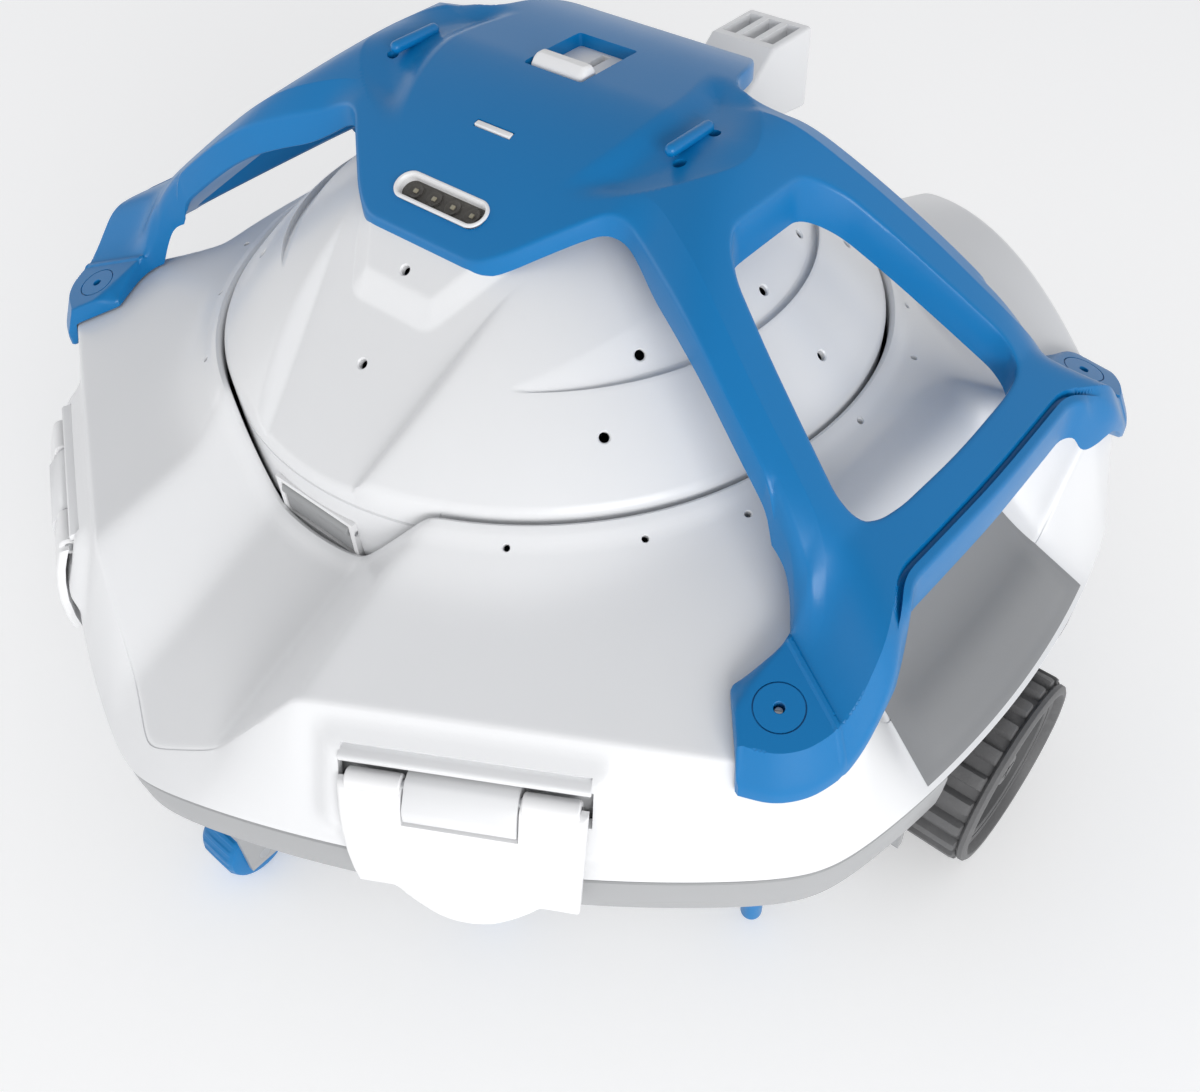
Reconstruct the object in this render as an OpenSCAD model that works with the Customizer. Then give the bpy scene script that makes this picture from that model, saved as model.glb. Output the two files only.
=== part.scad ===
// Cordless water-jet pool cleaner: six-sided hull, domed cover and blue lifting frame.
// +X is the right side, -Y the front (nose), +Z up; the origin is on the floor under the middle.

/* [Hull] */
// Distance from the middle to the bulge of each slanted rim side
rim_slant = 177.5; // [170:0.5:185]
// Distance from the middle to the bulge of the right and left rim sides
rim_side = 185; // [180:0.5:190]
// Height of the joint between the upper and lower shells
joint_z = 74; // [70:1:78]
// Distance from the middle to the straight crease above each slanted side
crease_slant = 159; // [155:1:162]
// Distance from the middle to the crease above the right and left sides
crease_side = 163; // [160:1:166]
// Height of the crease
crease_z = 116; // [112:1:120]
// Wall thickness of the shells
wall = 3; // [2:0.5:4]
// Height that the rear shoulders rise above the front ones
rear_rise = 18; // [0:1:20]

/* [Dome] */
// Radius of the dome cover at its lower edge
dome_r = 108.6; // [106:0.2:110]
// Height of the dome's lower edge
dome_z = 141; // [139:1:143]
// Height of the top of the dome
dome_top = 196; // [192:1:198]
// Gap between the dome and the shell round it
dome_gap = 1.8; // [1:0.2:2.4]

/* [Lifting frame] */
// Height of the hub's ridge
hub_z = 211.5; // [208:0.5:214]
// Depth of the frame's arms
arm_depth = 13; // [10:0.5:15]
// Distance from the middle to each foot screw across the cleaner
foot_x = 150; // [148:1:152]
// Distance from the middle to each foot screw along the cleaner
foot_y = 85; // [83:1:87]

/* [Running gear] */
// Radius of the driven-over floor wheels
wheel_r = 34; // [32:0.5:35]
// Distance from the middle to the outer face of each wheel
wheel_out = 192; // [188:0.5:194]
// Width of each wheel
wheel_w = 25; // [23:1:28]
// Radius of the nose and tail rollers
roller_r = 12; // [10:0.5:13]
// Distance from the middle to each roller's axis
roller_y = 169; // [165:1:170]

/* [Latches] */
// Height of the latch hinge axis
latch_z = 101; // [99:1:102]
// Distance from the middle to the latch hinge axis
latch_d = 170.6; // [170:0.1:172]
// Width of a latch along the rim
latch_w = 67; // [60:1:76]

/* [Pump] */
// Radius of the impeller
impeller_r = 33; // [28:1:34]
// Radius of the sealed motor pod
pod_r = 58; // [54:1:60]
// Radius of the motor shaft
shaft_r = 3; // [2.5:0.5:4]

/* [Hidden] */

blue = [0.05, 0.42, 0.72];
white = [0.95, 0.95, 0.96];
pale_grey = [0.82, 0.82, 0.83];
dark_grey = [0.36, 0.36, 0.37];
steel = [0.75, 0.76, 0.78];
round_fn = 64;
ring_n = 120;

// ---- plan of the hull: six slightly bowed sides ----
slant_nx = 0.4958;
slant_ny = 0.8684;
slant_deg = 60.27;
slant_bow = 404;
side_bow = 332;
function smin(a, b, k) = -k * ln(exp(-a / k) + exp(-b / k));
function smax(a, b, k) = -smin(-a, -b, k);
function bow_r(x, y, nx, ny, mid, rad) =
    let (e = (mid - rad) * (x * nx + y * ny))
    e + sqrt(rad * rad - (rad - mid) * (rad - mid) + e * e);
function rim_r(x, y) =
    let (r = norm([x, y]), u = abs(x) / r, v = abs(y) / r)
    smin(smin(bow_r(u, v, slant_nx, slant_ny, rim_slant, slant_bow),
        bow_r(u, v, 1, 0, rim_side, side_bow), 3),
        bow_r(u, v, -slant_nx, slant_ny, rim_slant, slant_bow), 3);
function line_r(dist, c) = c > 0.3 ? dist / c : 3 * dist;
function crease_r(x, y) =
    let (r = norm([x, y]), u = abs(x) / r, v = abs(y) / r)
    smin(smin(line_r(crease_slant, slant_nx * u + slant_ny * v), line_r(crease_side, u), 2),
        line_r(crease_slant, slant_ny * v - slant_nx * u), 2);
function clamp01(t) = min(1, max(0, t));

// ---- height of the hull's top surface ----
shell_hole_r = dome_r + dome_gap;
shoulder_slope = 0.33;
collar_slope = 0.9;
cone_slope = 0.3;
trough_half = 20;
trough_start_y = 110;
trough_z = 111;
trough_slope = 0.43;
trough_bank = 0.95;
scoop_x = 122;
scoop_end_x = 182;
scoop_low_z = 80;
scoop_high_z = 136;
scoop_half = 46;
knee_out = 1.2;
function slant_d(x, y) = abs(x) * slant_nx + abs(y) * slant_ny;
function slant_s(x, y) = abs(x) * slant_ny - abs(y) * slant_nx;
function rear_swell(x, y) =
    y > 0 ? rear_rise * clamp01(1 - pow((slant_s(x, y) - 16) / 64, 2))
        * clamp01((slant_d(x, y) - 112) / 47) : 0;
function shoulder_z(x, y) =
    let (r = norm([x, y]),
        facet = crease_z + (crease_slant - slant_d(x, y)) * shoulder_slope,
        collar = dome_z - (r - shell_hole_r) * collar_slope,
        cone = dome_z - (r - shell_hole_r) * cone_slope)
    smin(cone, smax(facet, collar, 2), 2) + rear_swell(x, y);
function trough_floor(x, y) =
    trough_z - (abs(y) - trough_start_y) * trough_slope
        + smax(0, (abs(x) - trough_half) * trough_bank, 1.5);
function scoop_floor(x, y) =
    scoop_low_z + (scoop_high_z - scoop_low_z)
        * pow(max(0, (scoop_end_x - abs(x)) / (scoop_end_x - scoop_x)), 1.8)
        + smax(0, (abs(y) - scoop_half) * 1.6, 2);
function top_z(x, y) =
    smin(smin(shoulder_z(x, y), trough_floor(x, y), 1.5), scoop_floor(x, y), 1.5);
// The wall below a swollen shoulder drops steeply to the crease height before it slopes out.
function knee_z(crest) = min(crest, crease_z);
function knee_r(crest, rc) = rc + (crest > crease_z ? knee_out * (crest - crease_z) / rear_rise : 0);
function skin_z(x, y) =
    let (r = norm([x, y]), rc = crease_r(x, y), rr = rim_r(x, y), k = min(1, rc / r),
        crest = top_z(x * k, y * k), rk = knee_r(crest, rc), zk = knee_z(crest))
    r <= rc ? top_z(x, y)
        : r < rk ? crest + (zk - crest) * (r - rc) / (rk - rc)
        : zk + (joint_z - zk) * (r - rk) / (rr - rk);

// ---- height of the dome ----
facet_low_z = 137;
facet_low_y = 107;
facet_slope = 0.8;
facet_half = 18.7;
function round_dome(r) = dome_top - (dome_top - dome_z) * pow(r / dome_r, 2.2);
function facet_z(x, y) =
    facet_low_z + (facet_low_y - abs(y)) * facet_slope
        + max(0, abs(x) - facet_half - (facet_low_y - abs(y)) * 0.27) * 0.9;
function domed_z(x, y) = smin(round_dome(norm([x, y])), facet_z(x, y), 1);
function under_z(x, y) = norm([x, y]) < shell_hole_r ? domed_z(x, y) : skin_z(x, y);

// ---- solids from rings of points ----
function turn_pt(a, r, z) = [r * cos(a), r * sin(a), z];
function ring_faces(m, n) = [
    for (j = [0:m - 1]) for (i = [0:n - 1])
        let (a = j * n + i, b = j * n + (i + 1) % n,
            c = ((j + 1) % m) * n + (i + 1) % n, d = ((j + 1) % m) * n + i)
        each [[a, b, c], [a, c, d]]];
module ring_solid(rings) {
    m = len(rings);
    n = len(rings[0]);
    polyhedron([for (r = rings) each r], ring_faces(m, n));
}

// ---- upper shell ----
shoulder_steps = [0, 0.06, 0.13, 0.22, 0.36, 0.5, 0.65, 0.8, 0.92, 1];
wall_steps = [0, 0.5, 1];
angles = [for (i = [0:ring_n - 1]) i * 360 / ring_n];
function shoulder_r(a, t) = shell_hole_r + (crease_r(cos(a), sin(a)) - shell_hole_r) * t;
function top_pt(a, t, in, drop) =
    let (r = shoulder_r(a, t)) turn_pt(a, max(shell_hole_r, r - in),
        top_z(r * cos(a), r * sin(a)) - drop);
function wall_pt(a, t, in) =
    let (rc = crease_r(cos(a), sin(a)), rr = rim_r(cos(a), sin(a)),
        crest = top_z(rc * cos(a), rc * sin(a)), rk = knee_r(crest, rc) + 0.05,
        zk = knee_z(crest) - 0.1)
    turn_pt(a, rk + (rr - rk) * t - in, zk + (joint_z - zk) * t);
function outer_rings() = concat(
    [for (t = shoulder_steps) [for (a = angles) top_pt(a, t, 0, 0)]],
    [for (t = wall_steps) [for (a = angles) wall_pt(a, t, 0)]]);
// The room that the upper shell takes up, down to the joint with the base.
module hull_room() {
    ring_solid(concat(outer_rings(), [[for (a = angles) turn_pt(a, shell_hole_r, joint_z)]]));
}
module upper_shell() {
    rings = concat(outer_rings(),
        [[for (a = angles) wall_pt(a, 1, wall)], [for (a = angles) wall_pt(a, 0.5, wall)]],
        [for (t = [1, 0.8, 0.5, 0.22]) [for (a = angles) top_pt(a, t, wall, wall)]],
        [[for (a = angles) top_pt(a, 0, 0, wall + 1)]]);
    color(white)
        difference() {
            ring_solid(rings);
            for (sx = [-1, 1]) for (sy = [-1, 1])
                translate([sx * foot_x, sy * foot_y, 100]) cylinder(r = 2.05, h = 40, $fn = 32);
            for (k = [0:3]) on_side(k)
                translate([latch_d, 0, latch_z]) rotate([90, 0, 0])
                    cylinder(r = 3.6, h = latch_w + 1, center = true, $fn = 32);
        }
}

// ---- dome cover ----
dome_wall = 2.5;
nose_half = 19;
nose_low_z = 124;
module dome_cover() {
    inner_hole = 26;
    steps = [0, 0.2, 0.38, 0.54, 0.68, 0.8, 0.9, 0.96, 1];
    function at(t) = inner_hole + (dome_r - inner_hole) * t;
    function skirt_z(a) =
        let (x = abs(dome_r * cos(a)), low = clamp01((nose_half + 3 - x) / 3))
        dome_z - 8 - (dome_z - 8 - nose_low_z) * low;
    function pt(a, t, drop) =
        let (r = at(t)) turn_pt(a, r, domed_z(r * cos(a), r * sin(a)) - drop);
    color(white)
        difference() {
            ring_solid(concat(
                [for (t = steps) [for (a = angles) pt(a, t, 0)]],
                [[for (a = angles) turn_pt(a, dome_r, skirt_z(a))],
                    [for (a = angles) turn_pt(a, dome_r - dome_wall, skirt_z(a))]],
                [[for (a = angles) let (p = pt(a, 1, dome_wall))
                    turn_pt(a, dome_r - dome_wall, p[2])]],
                [for (t = [0.9, 0.68, 0.38, 0]) [for (a = angles) pt(a, t, dome_wall)]]));
            translate([0, nozzle_y, 120]) cylinder(r = nozzle_stem_r + 3.2, h = 60, $fn = round_fn);
            lamp_frame() translate([0, 0, -14]) linear_extrude(20) oblong(led_half, led_r);
        }
}

// ---- lifting frame ----
// The hub falls away evenly towards the nose, and rolls over late at the back.
hub_mid = 8;
hub_back_run = 49;
hub_back_fall = 5.5;
function hub_height(y) =
    y < hub_mid ? hub_z - 0.0354 * pow(hub_mid - y, 1.6)
        : hub_z - hub_back_fall * pow((y - hub_mid) / hub_back_run, 4.7);
function arm_height(x) = max(200 - (abs(x) - 82) * 0.787, 152 - (abs(x) - 143) * 0.47);
// The flat top of a foot is parallel to the shoulder under it; past the rib the leg curves up.
function foot_plane(x, y) =
    foot_top_z + (slant_d(foot_x, foot_y) - slant_d(x, y)) * shoulder_slope;
function past_rib(x, y) = (abs(x) - 142) * 0.4315 - (abs(y) - 68.5) * 0.902;
function leg_height(x, y) =
    let (q = max(0, past_rib(x, y)))
    foot_plane(x, y) + 0.25 * q + 0.047 * q * q + max(0, 146 - abs(x)) * 1.6;
function side_height(x, y) = 147 - (abs(x) - 162 - 5 * clamp01((abs(y) - 50) / 16)) * 4;
function frame_top(x, y) =
    max(foot_low_z + 6, smin(side_height(x, y),
        smax(smin(smin(hub_height(y), arm_height(x), 3), leg_height(x, y), 2.5),
            under_z(x, y) + 3.2, 0.6), 1.5));
function frame_bottom(x, y) =
    max(frame_top(x, y) - arm_depth, under_z(x, y) + 0.8, foot_low_z);
foot_low_z = 104;
foot_top_z = 126;
quarter_outline = [[46, 34], [50, 30], [56, 28.5], [62, 30.5], [71, 35], [91, 44.5], [108, 51],
    [123, 55.5], [135, 59.5], [141, 66.5], [141, 73], [136, 86], [150.3, 102.3], [159, 98.5],
    [165.2, 92], [168.9, 83], [170, 73], [169, 62], [165, 52], [160.5, 44], [161, 24], [161.5, 0]];
front_outline = concat([[0, 54], [22, 54], [30, 49]], quarter_outline);
back_outline = concat([[0, 65], [24, 65], [32, 62], [42, 48]], quarter_outline);
quarter_window = [[81, 0], [81, 15], [84, 20], [90, 25.5], [105, 32], [123, 38.5], [136, 43],
    [142, 42], [145, 37], [146.5, 28], [147.5, 0]];
function mirrored(pts, sx, sy) = [for (p = pts) [p[0] * sx, p[1] * sy]];
function backwards(pts) = [for (i = [len(pts) - 1:-1:0]) pts[i]];
module frame_plan() {
    difference() {
        polygon(concat(mirrored(front_outline, 1, -1), backwards(mirrored(back_outline, 1, 1)),
            mirrored(back_outline, -1, 1), backwards(mirrored(front_outline, -1, -1))));
        for (s = [-1, 1])
            polygon(concat(backwards(mirrored(quarter_window, s, -1)),
                mirrored(quarter_window, s, 1)));
    }
}
module height_slab(nx, ny, step) {
    function px(i) = (i - nx / 2) * step;
    function py(j) = (j - ny / 2) * step;
    pts = concat(
        [for (j = [0:ny]) for (i = [0:nx]) [px(i), py(j), frame_bottom(px(i), py(j))]],
        [for (j = [0:ny]) for (i = [0:nx]) [px(i), py(j), frame_top(px(i), py(j))]]);
    w = nx + 1;
    t = w * (ny + 1);
    faces = concat(
        [for (j = [0:ny - 1]) for (i = [0:nx - 1]) let (a = j * w + i)
            each [[a, a + 1, a + w + 1], [a, a + w + 1, a + w],
                [t + a, t + a + w + 1, t + a + 1], [t + a, t + a + w, t + a + w + 1]]],
        [for (i = [0:nx - 1]) each [[i, t + i, t + i + 1, i + 1],
            [ny * w + i, ny * w + i + 1, t + ny * w + i + 1, t + ny * w + i]]],
        [for (j = [0:ny - 1]) each [[j * w, (j + 1) * w, t + (j + 1) * w, t + j * w],
            [j * w + nx, t + j * w + nx, t + (j + 1) * w + nx, (j + 1) * w + nx]]]);
    polyhedron(pts, faces);
}
head_z = 123.4;
eye_x = 57;
eye_half = 12;
module handle_frame() {
    color(blue)
        difference() {
            resize([0, 0, 0])
                difference() {
                    intersection() {
                        height_slab(40, 26, 9);
                        translate([0, 0, 60]) linear_extrude(180) frame_plan();
                    }
                    translate([0, led_y, 170]) linear_extrude(60) oblong(led_half + 0.4, led_r + 1.2);
                    translate([-7.6, pipe_y - 1.4, 170]) cube([15.2, 6, 60]);
                    translate([0, switch_y, 170]) linear_extrude(60) switch_outline(0.4);
                    for (s = [-1, 1]) translate([s * eye_x, 0, hub_z]) eye_slots();
                    hull_room();
                }
            for (sx = [-1, 1]) for (sy = [-1, 1]) translate([sx * foot_x, sy * foot_y, 0])
                union() {
                    translate([0, 0, 90]) cylinder(r = 2.3, h = 60, $fn = 32);
                    translate([0, 0, head_z]) cylinder(r = 4.6, h = 30, $fn = 32);
                }
        }
}
module eye_slots() {
    for (s = [-1, 1])
        translate([s * 6 - 2.5, -eye_half, -9]) cube([5, 2 * eye_half, 12]);
}
module oblong(half, r) {
    hull()
        for (s = [-1, 1]) translate([s * half, 0]) circle(r = r, $fn = 32);
}

// ---- foot screws ----
module foot_screws() {
    color(steel)
        for (sx = [-1, 1]) for (sy = [-1, 1])
            translate([sx * foot_x, sy * foot_y, 0])
                union() {
                    translate([0, 0, 106]) cylinder(r = 2, h = head_z - 106, $fn = 32);
                    translate([0, 0, head_z]) cylinder(r = 4, h = 2.4, $fn = 32);
                }
}

// ---- base ----
base_gap = 1.6;
flange_z = 66;
belly_z = 52;
floor_z = 20;
floor_scale = 0.78;
port_r = 40;
well_x0 = 152;
well_half_y = 40;
well_top = 72;
boss_out = 3;
boss_half = 14;
boss_rise = 12;
function rim_pt(a, scale, in, z) =
    let (r = rim_r(cos(a), sin(a)) * scale - in) turn_pt(a, r, z);
module base_shell() {
    function ring(scale, in, z) = [for (a = angles) rim_pt(a, scale, in, z)];
    color(pale_grey)
        difference() {
            ring_solid([ring(1, 0.3, joint_z - base_gap), ring(1, 0.3, flange_z),
                ring(1, 5, flange_z - 1), ring(1, 7, belly_z), ring(0.9, 6, 32),
                ring(floor_scale, 0, floor_z),
                [for (a = angles) turn_pt(a, port_r + 0.2, floor_z)],
                [for (a = angles) turn_pt(a, port_r + 0.2, floor_z + wall)],
                ring(floor_scale, 1, floor_z + wall), ring(0.9, 10, 32 + wall),
                ring(1, 10, belly_z + 2), ring(1, 8, joint_z - base_gap)]);
            for (s = [-1, 1])
                translate([s * 175 - (s > 0 ? 175 - well_x0 + 0.3 : 35), -well_half_y - 0.3, 0])
                    cube([175 - well_x0 + 35.3, 2 * well_half_y + 0.6, well_top + 0.3]);
            for (s = [-1, 1])
                translate([s * (well_x0 - 2), 0, wheel_r])
                    cube([2 * boss_out + 0.6, 2 * boss_half + 0.6, 2 * boss_rise + 0.6], center = true);
            for (p = stud_places) translate([p[0], p[1], 0]) cylinder(r = stud_r + 0.05, h = 60, $fn = 32);
            for (s = [-1, 1]) translate([0, s * (roller_y + 1), 34])
                cube([fork_w + 0.5, fork_l + 0.5, 50], center = true);
        }
}
module base_seal() {
    color(dark_grey)
        translate([0, 0, joint_z - base_gap])
            linear_extrude(base_gap)
                difference() {
                    polygon([for (i = [0:ring_n - 1]) let (p = rim_pt(i * 360 / ring_n, 1, 1.2, 0))
                        [p[0], p[1]]]);
                    polygon([for (i = [0:ring_n - 1]) let (p = rim_pt(i * 360 / ring_n, 1, 2.9, 0))
                        [p[0], p[1]]]);
                }
}

// ---- latches on the four slanted sides ----
// Angles of the outward directions of the slanted sides, and which way each latch is handed.
latch_turns = [[-slant_deg, 1], [-180 + slant_deg, -1], [180 - slant_deg, 1], [slant_deg, -1]];
latch_shift = 10.5;
tab_half = 17;
latch_pin_r = 1.5;
lip_r = 60;
lip_centre = 126;
lip_low = 57;
panel_out = 181.6;
panel_in = 178.9;
panel_low = 65.5;
hook_half = 22;
hook_low = 60;
hook_high = 64.4;
hook_in = 174.5;
module on_side(k) {
    rotate([0, 0, latch_turns[k][0]]) translate([0, latch_turns[k][1] * latch_shift, 0]) children();
}
// A profile in (outward, up) spread along the side.
module along_side(from, to) {
    translate([0, to, 0]) rotate([90, 0, 0]) linear_extrude(to - from) children();
}
module latch(k) {
    half = latch_w / 2;
    color(white)
        on_side(k)
            difference() {
                union() {
                    along_side(-half, half)
                        polygon([[latch_d + 0.6, latch_z - 3.1], [latch_d + 3.2, latch_z - 2],
                            [panel_out, 78], [panel_out, panel_low], [panel_in, panel_low],
                            [panel_in, 78]]);
                    along_side(-hook_half, hook_half)
                        polygon([[panel_in, panel_low + 1], [panel_out, panel_low + 1],
                            [panel_out, hook_low], [hook_in, hook_low], [hook_in, hook_high],
                            [panel_in, hook_high]]);
                    for (s = [-1, 1])
                        translate([latch_d, s * (tab_half + half + 0.4) / 2, latch_z])
                            rotate([90, 0, 0])
                                cylinder(r = 3.2, h = half - tab_half - 0.4, center = true, $fn = round_fn);
                    intersection() {
                        translate([lip_centre, 0, lip_low]) cylinder(r = lip_r, h = 6, $fn = round_fn);
                        translate([panel_in, -half, 50]) cube([20, latch_w, 20]);
                    }
                }
                translate([latch_d, 0, latch_z]) rotate([90, 0, 0])
                    cylinder(r = latch_pin_r + 0.05, h = latch_w + 2, center = true, $fn = 32);
                translate([latch_d - 6, -tab_half - 0.4, latch_z - 9])
                    cube([14, 2 * tab_half + 0.8, 16]);
            }
}
module latch_brackets() {
    color(white)
        for (k = [0:3]) on_side(k)
            difference() {
                union() {
                    along_side(-tab_half, tab_half)
                        polygon([[latch_d - 0.5, latch_z - 8], [latch_d + 3, latch_z - 8],
                            [latch_d + 3, latch_z + 3], [latch_d - 3, latch_z + 6],
                            [latch_d - 6.1, latch_z + 6]]);
                }
                translate([latch_d, 0, latch_z]) rotate([90, 0, 0])
                    cylinder(r = latch_pin_r, h = latch_w, center = true, $fn = 32);
            }
}
module latch_pins() {
    color(steel)
        for (k = [0:3]) on_side(k)
            translate([latch_d, 0, latch_z]) rotate([90, 0, 0])
                cylinder(r = latch_pin_r, h = latch_w - 4, center = true, $fn = 32);
}

// ---- wheels ----
axle_r = 4;
bush_r = 7;
rim_disc_r = 26;
lug_count = 22;
module facing(s) {
    mirror([s > 0 ? 0 : 1, 0, 0]) children();
}
module across(x0, x1, r) {
    translate([x0, 0, wheel_r]) rotate([0, 90, 0]) cylinder(r = r, h = x1 - x0, $fn = round_fn);
}
module wheel_rim(s) {
    color(dark_grey) facing(s)
        difference() {
            across(wheel_out - wheel_w, wheel_out - 1, rim_disc_r);
            across(wheel_out - 8, wheel_out, rim_disc_r - 4);
            across(wheel_out - wheel_w - 1, wheel_out, bush_r);
        }
}
module wheel_tyre(s) {
    color(dark_grey) facing(s)
        difference() {
            union() {
                across(wheel_out - wheel_w, wheel_out, wheel_r - 2);
                for (i = [0:lug_count - 1])
                    translate([wheel_out - wheel_w, 0, wheel_r]) rotate([i * 360 / lug_count, 0, 0])
                        intersection() {
                            translate([0, -2.6, wheel_r - 4]) cube([wheel_w, 5.2, 4]);
                            rotate([0, 90, 0]) cylinder(r = wheel_r, h = wheel_w, $fn = round_fn);
                        }
            }
            across(wheel_out - wheel_w - 1, wheel_out + 1, rim_disc_r);
        }
}
module wheel_bush(s) {
    color(white) facing(s)
        difference() {
            across(wheel_out - wheel_w, wheel_out - 8, bush_r);
            across(wheel_out - wheel_w - 1, wheel_out, axle_r + 0.05);
        }
}
module wheel_cap(s) {
    color(dark_grey) facing(s)
        union() {
            across(wheel_out - 8, wheel_out - 5, bush_r + 4);
            across(wheel_out - 5, wheel_out - 3, 6);
        }
}
module axle_stubs() {
    color(steel)
        for (s = [-1, 1]) facing(s)
            union() {
                across(well_x0 - 6, wheel_out - 8.5, axle_r);
                across(well_x0 - 8, well_x0 - 6, axle_r + 3);
            }
}
module wheel_wells() {
    color(pale_grey)
        for (s = [-1, 1]) facing(s)
            difference() {
                union() {
                    translate([well_x0, -well_half_y, floor_z + 2])
                        cube([22, 2 * well_half_y, well_top - floor_z - 2]);
                    translate([well_x0 - 5, -boss_half, wheel_r - boss_rise])
                        cube([2 * boss_out, 2 * boss_half, 2 * boss_rise]);
                }
                translate([well_x0 + 2.5, -well_half_y + 2.5, floor_z]) cube([40, 2 * well_half_y - 5, 50]);
                across(well_x0 - 10, well_x0 + 10, axle_r);
            }
}

// ---- rollers and glide studs ----
fork_w = 22;
fork_l = 10;
roller_w = 17;
module roller(s) {
    color(blue)
        translate([0, s * roller_y, roller_r]) rotate([0, 90, 0])
            difference() {
                cylinder(r = roller_r, h = roller_w, center = true, $fn = round_fn);
                cylinder(r = 2.05, h = roller_w + 2, center = true, $fn = 32);
            }
}
module roller_forks() {
    color(pale_grey)
        for (s = [-1, 1])
            difference() {
                translate([0, s * (roller_y + 1), (belly_z + 6) / 2 + 4])
                    cube([fork_w, fork_l, belly_z - 2], center = true);
                translate([0, s * roller_y, 0]) cube([roller_w + 1, 40, 4 * roller_r + 2], center = true);
                translate([0, s * roller_y, roller_r]) rotate([0, 90, 0])
                    cylinder(r = 2, h = fork_w + 2, center = true, $fn = 32);
            }
}
module roller_pins() {
    color(steel)
        for (s = [-1, 1])
            translate([0, s * roller_y, roller_r]) rotate([0, 90, 0])
                cylinder(r = 2, h = fork_w, center = true, $fn = 32);
}
stud_r = 3.5;
stud_low = 2;
stud_places = [for (sx = [-1, 1]) for (sy = [-1, 1]) for (p = [[146, 79], [80, 131]])
    [sx * p[0], sy * p[1]]];
module glide_studs() {
    color(blue)
        for (p = stud_places) translate([p[0], p[1], 0])
            union() {
                translate([0, 0, stud_low + stud_r]) cylinder(r = stud_r, h = 40, $fn = 32);
                translate([0, 0, stud_low + stud_r]) sphere(r = stud_r, $fn = 32);
            }
}

// ---- lamp, light pipe and switch in the hub ----
led_y = -43;
led_half = 15;
led_r = 6;
led_tilt = 23;
lamp_z = hub_height(led_y);
pipe_y = -20;
switch_y = 14;
switch_travel = 14;
module lamp_frame() {
    translate([0, led_y, lamp_z]) rotate([led_tilt, 0, 0]) children();
}
module led_bezel() {
    color(white) lamp_frame()
        difference() {
            translate([0, 0, -8]) linear_extrude(9) oblong(led_half - 0.8, led_r - 0.4);
            translate([0, 0, -5]) linear_extrude(8) oblong(led_half - 0.8, led_r - 2);
        }
}
module led_board() {
    color("darkgreen") lamp_frame()
        union() {
            translate([0, 0, -5]) linear_extrude(1.2) oblong(led_half - 0.8, led_r - 2.4);
            for (i = [-1.5:1.5]) translate([i * 8, 0, -3.8]) cylinder(r = 2, h = 2, $fn = 32);
        }
}
module led_lens() {
    color([0.85, 0.9, 0.92, 0.5]) lamp_frame()
        translate([0, 0, -1.6]) linear_extrude(2) oblong(led_half - 0.8, led_r - 2.05);
}
module light_pipe() {
    color(white) translate([0, pipe_y, hub_height(pipe_y)])
        rotate([10, 0, 0]) translate([-7, -1, -9]) cube([14, 2, 9]);
}
module switch_outline(grow) {
    polygon([[-10 - grow, -8 - grow], [10 + grow, -8 - grow], [13 + grow, 4],
        [8 + grow, 22 + grow], [-8 - grow, 22 + grow], [-13 - grow, 4]]);
}
module switch_plate() {
    color(white)
        translate([0, switch_y, hub_z - 8])
            difference() {
                linear_extrude(3) switch_outline(0);
                translate([-3, -4, -1]) cube([6, 22, 5]);
            }
}
module switch_slider() {
    color(white)
        translate([0, switch_y, hub_z - 4.7])
            union() {
                translate([-9, -7.2, 0]) cube([18, 11, 7]);
                translate([-2.7, -3.7, -6]) cube([5.4, 7, 6.2]);
            }
}

// ---- sealed pod: motor, battery, control board ----
pod_z = 116;
pod_h = 46;
pod_wall = 2.5;
module tube(r_out, r_in, h) {
    difference() {
        cylinder(r = r_out, h = h, $fn = round_fn);
        translate([0, 0, -1]) cylinder(r = r_in, h = h + 2, $fn = round_fn);
    }
}
module pod_housing() {
    color(pale_grey)
        difference() {
            union() {
                translate([0, 0, pod_z]) cylinder(r = pod_r, h = pod_h, $fn = round_fn);
                translate([0, 0, pod_z + pod_h - 5]) cylinder(r = pod_r + 8, h = 5, $fn = round_fn);
            }
            translate([0, 0, pod_z + pod_wall]) cylinder(r = pod_r - pod_wall, h = pod_h, $fn = round_fn);
            translate([0, 0, pod_z - 1]) cylinder(r = 8, h = 10, $fn = round_fn);
            pod_screw_places() translate([0, 0, pod_z + pod_h - 8]) cylinder(r = 1.5, h = 10, $fn = 32);
            translate([pod_r - 8, 0, pod_z + 22]) rotate([0, 90, 0]) cylinder(r = 5.05, h = 12, $fn = 32);
        }
}
module pod_screw_places() {
    for (i = [0:5]) rotate([0, 0, i * 60]) translate([pod_r + 5, 0, 0]) children();
}
module pod_seal() {
    color(dark_grey) translate([0, 0, pod_z + pod_h]) tube(pod_r + 1, pod_r - 1, 1.4);
}
module pod_lid() {
    color(pale_grey)
        difference() {
            translate([0, 0, pod_z + pod_h + 1.4]) cylinder(r = pod_r + 8, h = 3, $fn = round_fn);
            pod_screw_places() translate([0, 0, pod_z + pod_h]) cylinder(r = 1.5, h = 10, $fn = 32);
        }
}
module pod_screws() {
    color(steel)
        pod_screw_places() translate([0, 0, pod_z + pod_h])
            union() {
                translate([0, 0, -4]) cylinder(r = 1.5, h = 8.4, $fn = 32);
                translate([0, 0, 4.4]) cylinder(r = 2.8, h = 2, $fn = 32);
            }
}
module drive_motor() {
    color(steel)
        difference() {
            translate([0, 0, pod_z + pod_wall]) cylinder(r = 18, h = 38, $fn = round_fn);
            translate([0, 0, pod_z]) cylinder(r = shaft_r + 0.05, h = 45, $fn = 32);
        }
}
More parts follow.
